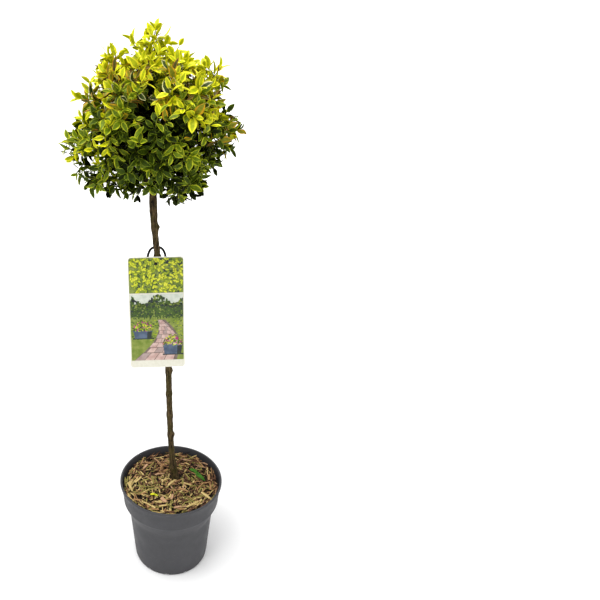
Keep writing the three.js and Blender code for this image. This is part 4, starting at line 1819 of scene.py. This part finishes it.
@dataclass
class PictureLabel:
    """The label: a rounded card with a leafy band above and a plain garden picture below, and no words."""

    ANY_TURN = 6.28

    width: float = 88.0
    height: float = 181.0
    thickness: float = 0.6
    corner: float = 5.0
    middle_x: float = -24.0
    top: float = 610.0
    behind: float = 7.0
    tilt: float = 10.0
    yaw: float = 3.0
    turn: float = 0.4
    ink: float = 0.05
    band_foot: float = 0.318
    picture_foot: float = 0.932
    seed: int = 9
    card: MottledFinish = MottledFinish("label_card", "cfcdbd", "d6d4c6", 300, 0.5, 0.03, specular=0.2)

    def pose(self) -> Matrix:
        """Gives the label's place: X across, Y up, Z out of its face, from the middle of its back's top edge.

        Returns:
            The matrix, in metres.
        """
        return (Matrix.Translation(Vector((self.middle_x, -self.behind, self.top)) * MM)
                @ Matrix.Rotation(math.radians(self.yaw), 4, "Z")
                @ Matrix.Rotation(math.radians(90 - self.tilt), 4, "X")
                @ Matrix.Rotation(math.radians(self.turn), 4, "Z"))

    def build_card(self) -> Mesh:
        """Makes the card with its rounded corners and softened edge.

        Returns:
            The mesh.
        """
        bm = bmesh.new()
        middle = Matrix.Translation((0, -self.height / 2 * MM, 0))
        shape = Matrix.Diagonal((self.width * MM, self.height * MM, 1, 1))
        bmesh.ops.create_grid(bm, x_segments=1, y_segments=1, size=0.5, matrix=middle @ shape)
        bmesh.ops.bevel(bm, geom=bm.verts[:], offset=self.corner * MM, affect="VERTICES", segments=8,
                        profile=0.5, material=-1)
        raised = new_verts(bmesh.ops.extrude_face_region(bm, geom=bm.faces[:]))
        bmesh.ops.translate(bm, verts=raised, vec=(0, 0, self.thickness * MM))
        bmesh.ops.transform(bm, matrix=self.pose(), verts=bm.verts)
        return mesh_of(bm, "label_card", smooth=False)

    def build_print(self) -> Mesh:
        """Lays the print on the card.

        Returns:
            The mesh.
        """
        sheet = PrintSheet(self.thickness + self.ink)
        half, top = self.width / 2, -1.6
        split, foot = -self.band_foot * self.height, -self.picture_foot * self.height
        self._leafy_band(sheet, half - 1.4, split, top)
        self._garden(sheet, half - 2.0, foot, split - 2.2)
        return sheet.mesh("label_print", self.pose())

    def _leafy_band(self, sheet: PrintSheet, half: float, low: float, high: float) -> None:
        """Lays the leafy band: leaves strewn over shade.

        Args:
            sheet: Takes the shapes.
            half: Half the band's width.
            low: Its foot.
            high: Its top.
        """
        sheet.frame = (-half, low, half, high)
        inset = self.corner - 1.4
        sheet.lay([(-half, low), (half, low), (half, high - inset), (half - inset * 0.3, high - inset * 0.3),
                   (half - inset, high), (-half + inset, high), (-half + inset * 0.3, high - inset * 0.3),
                   (-half, high - inset)], PrintInk.GRASS, 0)
        draws = SeededStream(self.seed)
        inks = (PrintInk.SHADOW, PrintInk.HEDGE, PrintInk.GRASS, PrintInk.LIME, PrintInk.LEMON)
        for layer, (count, ink) in enumerate(zip((70, 60, 90, 170, 150), inks)):
            for i in range(count):
                x, y = draws.spread(half - 1), draws.between(low + 1, high - 1)
                size, turn = draws.between(4.5, 9.0), draws.draw() * 2 * math.pi
                if abs(x) > half - 5 and y > high - 5:
                    continue
                edge = PrintInk.HEDGE if ink > PrintInk.HEDGE or i % 2 else PrintInk.GRASS
                rank = 1 + layer * 8 + i % 4 * 2
                if ink is not PrintInk.SHADOW:
                    sheet.leaf(x, y, size * 1.2, turn, edge, rank)
                sheet.leaf(x, y, size, turn, ink, rank + 1)

    def _garden(self, sheet: PrintSheet, half: float, low: float, high: float) -> None:
        """Lays the garden picture: trees, a hedge, a lawn, a paved path and two troughs of flowers.

        Args:
            sheet: Takes the shapes.
            half: Half the picture's width.
            low: Its foot.
            high: Its top.
        """
        sheet.frame = (-half, low, half, high)
        tall = high - low
        draws = SeededStream(self.seed + 1)

        def level(share: float) -> float:
            """Gives the height at a share of the picture."""
            return low + share * tall

        sheet.box(-half, low, half, high, PrintInk.GRASS, 0)
        sheet.box(-half, level(0.86), half, high, PrintInk.SKY, 1)
        for i in range(420):
            x = draws.spread(half)
            y = level(0.8) + draws.draw() * tall * (0.12 + 0.07 * math.sin(x * 0.13 + 1.2))
            ink = (PrintInk.HEDGE, PrintInk.HEDGE, PrintInk.SHADOW, PrintInk.GRASS)[int(draws.draw() * 4)]
            sheet.leaf(x, y, draws.between(4, 8), draws.draw() * self.ANY_TURN, ink, 2 + i % 8)
        sheet.box(-half, level(0.66), half, level(0.8), PrintInk.HEDGE, 11)
        for i in range(360):
            ink = (PrintInk.HEDGE, PrintInk.SHADOW, PrintInk.GRASS, PrintInk.HEDGE)[int(draws.draw() * 4)]
            sheet.leaf(draws.spread(half), level(draws.between(0.64, 0.81)), draws.between(2.5, 4.5),
                       draws.draw() * self.ANY_TURN, ink, 12 + i % 6)
        for i in range(260):
            ink = (PrintInk.HEDGE, PrintInk.LIME, PrintInk.GRASS)[int(draws.draw() * 3)]
            sheet.leaf(draws.spread(half), level(draws.between(0.3, 0.62)), draws.between(2, 5),
                       draws.spread(0.3), ink, 12 + i % 6)
        self._path(sheet, half, level)
        for left, foot, wide, box_tall in ((-half + 4, 0.34, 30.0, 13.0), (half - 33, 0.09, 31.0, 16.0)):
            self._trough(sheet, draws, left, level(foot), wide, box_tall)

    @staticmethod
    def _path(sheet: PrintSheet, half: float, level: Callable[[float], float]) -> None:
        """Lays the path of paving stones, narrowing into the picture.

        Args:
            sheet: Takes the shapes.
            half: Half the picture's width.
            level: Gives the height at a share of the picture.
        """
        rows, stones = 9, 4

        def across(along: float) -> tuple[float, float, float]:
            """Gives the path's left side, its width and its height, so many rows along."""
            share = (along / rows) ** 0.75
            wide = half * (1.5 - 1.36 * share)
            return -6 + 20 * math.sin(share * 2.6) - wide / 2, wide, level(0.62 * share)

        for row in range(rows):
            (x0, wide0, y0), (x1, wide1, y1) = across(row), across(row + 0.9)
            y2 = across(row + 1)[2]
            for k in range(stones):
                a, b = ((k + part + 0.3 * (row % 2)) / stones for part in (0.04, 0.96))
                ink = PrintInk.PAVING if (row * 3 + k * 5) % 4 else PrintInk.STONE
                sheet.lay([(x0 + wide0 * a, y0), (x0 + wide0 * b, y0), (x1 + wide1 * b, y1),
                           (x1 + wide1 * a, y1)], ink, 20)
            sheet.lay([(x0, y0), (x0 + wide0 + 5, y0), (x1 + wide1 + 5, y2), (x1, y2)], PrintInk.JOINT, 19)

    def _trough(self, sheet: PrintSheet, draws: SeededStream, left: float, foot: float, wide: float,
                tall: float) -> None:
        """Lays a trough with a cushion of flowers.

        Args:
            sheet: Takes the shapes.
            draws: The stream of numbers.
            left: The trough's left side.
            foot: Its foot.
            wide: Its width.
            tall: Its height.
        """
        right, top = left + wide, foot + tall
        sheet.box(left - 1, foot - 1.5, right + 3, foot + 1, PrintInk.SHADOW, 21)
        sheet.lay([(left + 2, foot), (right - 2, foot), (right, top), (left, top)], PrintInk.SLATE, 22)
        sheet.lay([(left + wide * 0.72, foot), (right - 2, foot), (right, top), (left + wide * 0.74, top)],
                  PrintInk.SHADOW, 23)
        sheet.box(left - 0.8, top - 2, right + 0.8, top + 0.4, PrintInk.SLATE, 24)
        inks = (PrintInk.HEDGE, PrintInk.HEDGE, PrintInk.GRASS, PrintInk.LIME, PrintInk.LEMON, PrintInk.PETAL)
        for i in range(190):
            x = draws.spread(wide / 2)
            dome = math.sqrt(max(0.0, 1 - (2 * x / wide) ** 2))
            y = top + draws.between(-1, 17) * dome
            sheet.leaf(left + wide / 2 + x, y, draws.between(2.4, 4.6), draws.draw() * self.ANY_TURN,
                       inks[int(draws.draw() * len(inks))], 25 + i % 8)

    def dress(self, dresser: Dresser) -> None:
        """Makes the card's and the print's pieces.

        Args:
            dresser: Makes and hangs the pieces.
        """
        dresser.piece("label_card", self.build_card(), [self.card], "label_card", ["picture_label"])
        dresser.piece("label_print", self.build_print(), INKS, "label_card")


@dataclass
class LabelStrap:
    """The black strap that hangs the label from the stem."""

    label: PictureLabel
    trunk: Trunk
    radius: float = 1.9
    half_width: float = 13.5
    drop: float = 9.0
    rise: float = 11.0
    clear: float = 0.3
    button_radius: float = 2.5
    button_drop: float = 11.0
    sides: int = 12
    steps: int = 9
    plastic: MouldedPlastic = MouldedPlastic("black_strap", "060607", "0d0d0e", "1a1a1a", 0.5, 0.2)

    def dress(self, dresser: Dresser) -> None:
        """Makes the strap's piece.

        Args:
            dresser: Makes and hangs the piece.
        """
        top = self.label.top
        stem = self.trunk.stem.at_height(top + self.rise)
        pose = self.label.pose()
        off = stem.x - self.label.middle_x
        behind = self.clear + self.radius

        def half(side: int) -> list[Vector]:
            """Gives the points of one side of the loop, from its foot behind the card."""
            foot = pose @ (Vector((off + side * self.half_width, -self.drop, -behind)) * MM) / MM
            rim = pose @ (Vector((off + side * (self.half_width + 0.6), -2, -behind - 0.8)) * MM) / MM
            return [foot, rim, Vector((stem.x + side * (self.half_width - 2), -2, top + self.rise * 0.62)),
                    Vector((stem.x + side * (self.half_width - 6.6), 4.6, top + self.rise * 0.95))]

        back = Vector((stem.x, stem.y + self.trunk.radius_at(stem.z) + self.radius + self.clear, stem.z))
        line = StemLine([*half(-1), back, *reversed(half(1))], self.steps)
        limb = LimbModeller(self.sides)
        limb.draw_out([p * MM for p in line.samples], [self.radius * MM] * len(line.samples))
        self._add_button(limb.bm, pose)
        dresser.piece("label_loop", mesh_of(limb.bm, "label_loop"), [self.plastic], "strap", ["label_strap"])

    def _add_button(self, bm: BMesh, pose: Matrix) -> None:
        """Adds the small button that holds the strap to the card.

        Args:
            bm: The strap's bmesh.
            pose: The label's place.
        """
        proud = ((0.0, 0.45), (0.35, 0.4), (0.45, 0.75), (0.75, 0.9), (0.95, 0.6), (1.0, 0.1), (0.5, 0.02))
        outline = [(self.button_radius * r, self.label.thickness + z) for r, z in proud]
        outline += [(self.button_radius * 0.5, -0.3), (0.0, -0.3)]
        button = spin_outline(bm, outline, 20)
        place = pose @ Matrix.Translation((0, -self.button_drop * MM, 0))
        bmesh.ops.transform(bm, matrix=place, verts=button)


@dataclass(frozen=True)
class SoftLight:
    """A square soft light: where it hangs, what it points at, the side of its face, and its watts."""

    name: str
    spot: tuple[float, float, float]
    aim: tuple[float, float, float]
    size: float
    power: float


@dataclass
class Studio:
    """Camera at the photograph's angle, soft lights, and a pale floor that curves up behind."""

    distance: float = 0.820
    camera_height: float = 0.882
    pitch: float = 23.0
    lens: float = 33.0
    sensor: float = 36.0
    shift: float = 0.215
    reach: float = 5.0
    backdrop: float = 6.0
    sweep: float = 2.0
    sky: float = 0.84
    lights: tuple[SoftLight, ...] = (
        SoftLight("top_softbox", (-0.5, -0.4, 2.6), (0.0, 0.0, 0.7), 1.3, 48.0),
        SoftLight("front_softbox", (0.8, -2.3, 0.6), (0.0, 0.0, 0.05), 1.4, 9.0),
        SoftLight("backdrop_softbox", (0.5, 1.6, 3.2), (0.8, 5.0, 1.8), 3.0, 160.0),
    )
    paper: MottledFinish = MottledFinish("studio_paper", "f7f7f7", "f9f9f9", 500.0, 0.9, 0.02, specular=0.0)

    def place_camera(self) -> None:
        """Makes the camera."""
        data = bpy.data.cameras.new("studio_camera")
        data.lens, data.sensor_width, data.shift_x = self.lens, self.sensor, self.shift
        data.clip_start, data.clip_end = 0.02, 60.0
        camera = put_in_scene("studio_camera", data)
        camera.location = (0.0, -self.distance, self.camera_height)
        camera.rotation_euler = (math.radians(90 - self.pitch), 0.0, 0.0)
        bpy.context.scene.camera = camera

    def lay_floor(self, dresser: Dresser) -> None:
        """Lays the floor and the backdrop that it curves up into.

        Args:
            dresser: Makes the paper's material.
        """
        bm = bmesh.new()
        bmesh.ops.create_grid(bm, x_segments=1, y_segments=1, size=self.reach)
        back = [e for e in bm.edges if all(v.co.y > 0.9 * self.reach for v in e.verts)]
        raised = new_verts(bmesh.ops.extrude_edge_only(bm, edges=back))
        bmesh.ops.translate(bm, verts=raised, vec=(0, 0, self.backdrop))
        bmesh.ops.bevel(bm, geom=back, offset=self.sweep, affect="EDGES", segments=16, profile=0.5,
                        material=-1)
        mesh = mesh_of(bm, "studio_floor")
        mesh.materials.append(dresser.material(self.paper))
        floor = put_in_scene("studio_floor", mesh)

    @staticmethod
    def hang(light: SoftLight) -> None:
        """Hangs one soft light.

        Args:
            light: The light.
        """
        data = bpy.data.lights.new(light.name, "AREA")
        data.size, data.energy = light.size, light.power
        lamp = put_in_scene(light.name, data)
        lamp.location = light.spot
        lamp.rotation_euler = (Vector(light.aim) - Vector(light.spot)).to_track_quat("-Z", "Y").to_euler()

    def set_up(self, dresser: Dresser) -> None:
        """Lays the floor and sets the light.

        Args:
            dresser: Makes the paper's material.
        """
        self.lay_floor(dresser)
        world = bpy.data.worlds.new("studio_world")
        world.use_nodes = True
        sky = world.node_tree.nodes["Background"]
        sky.inputs["Color"].default_value = (1.0, 1.0, 1.0, 1.0)
        sky.inputs["Strength"].default_value = self.sky
        bpy.context.scene.world = world
        for light in self.lights:
            self.hang(light)
        bpy.context.scene.view_settings.view_transform = "Standard"


def main() -> None:
    """Builds and dresses the plant, piece by piece."""
    logging.basicConfig(level=logging.INFO, format="%(message)s")
    studio, dresser = Studio(), Dresser()
    studio.place_camera()
    trunk = Trunk()
    head = Head(trunk)
    masses = head.lay_out()
    LOG.info("head: %d masses, %d shoots", len(masses), sum(len(m.shoots) for m in masses))
    NurseryPot().dress(dresser)
    ChipLayer().dress(dresser)
    trunk.dress(dresser)
    Boughs().dress(dresser, masses)
    Foliage(head).dress(dresser, masses)
    label = PictureLabel()
    label.dress(dresser)
    LabelStrap(label, trunk).dress(dresser)
    studio.set_up(dresser)


if __name__ == "__main__":
    main()
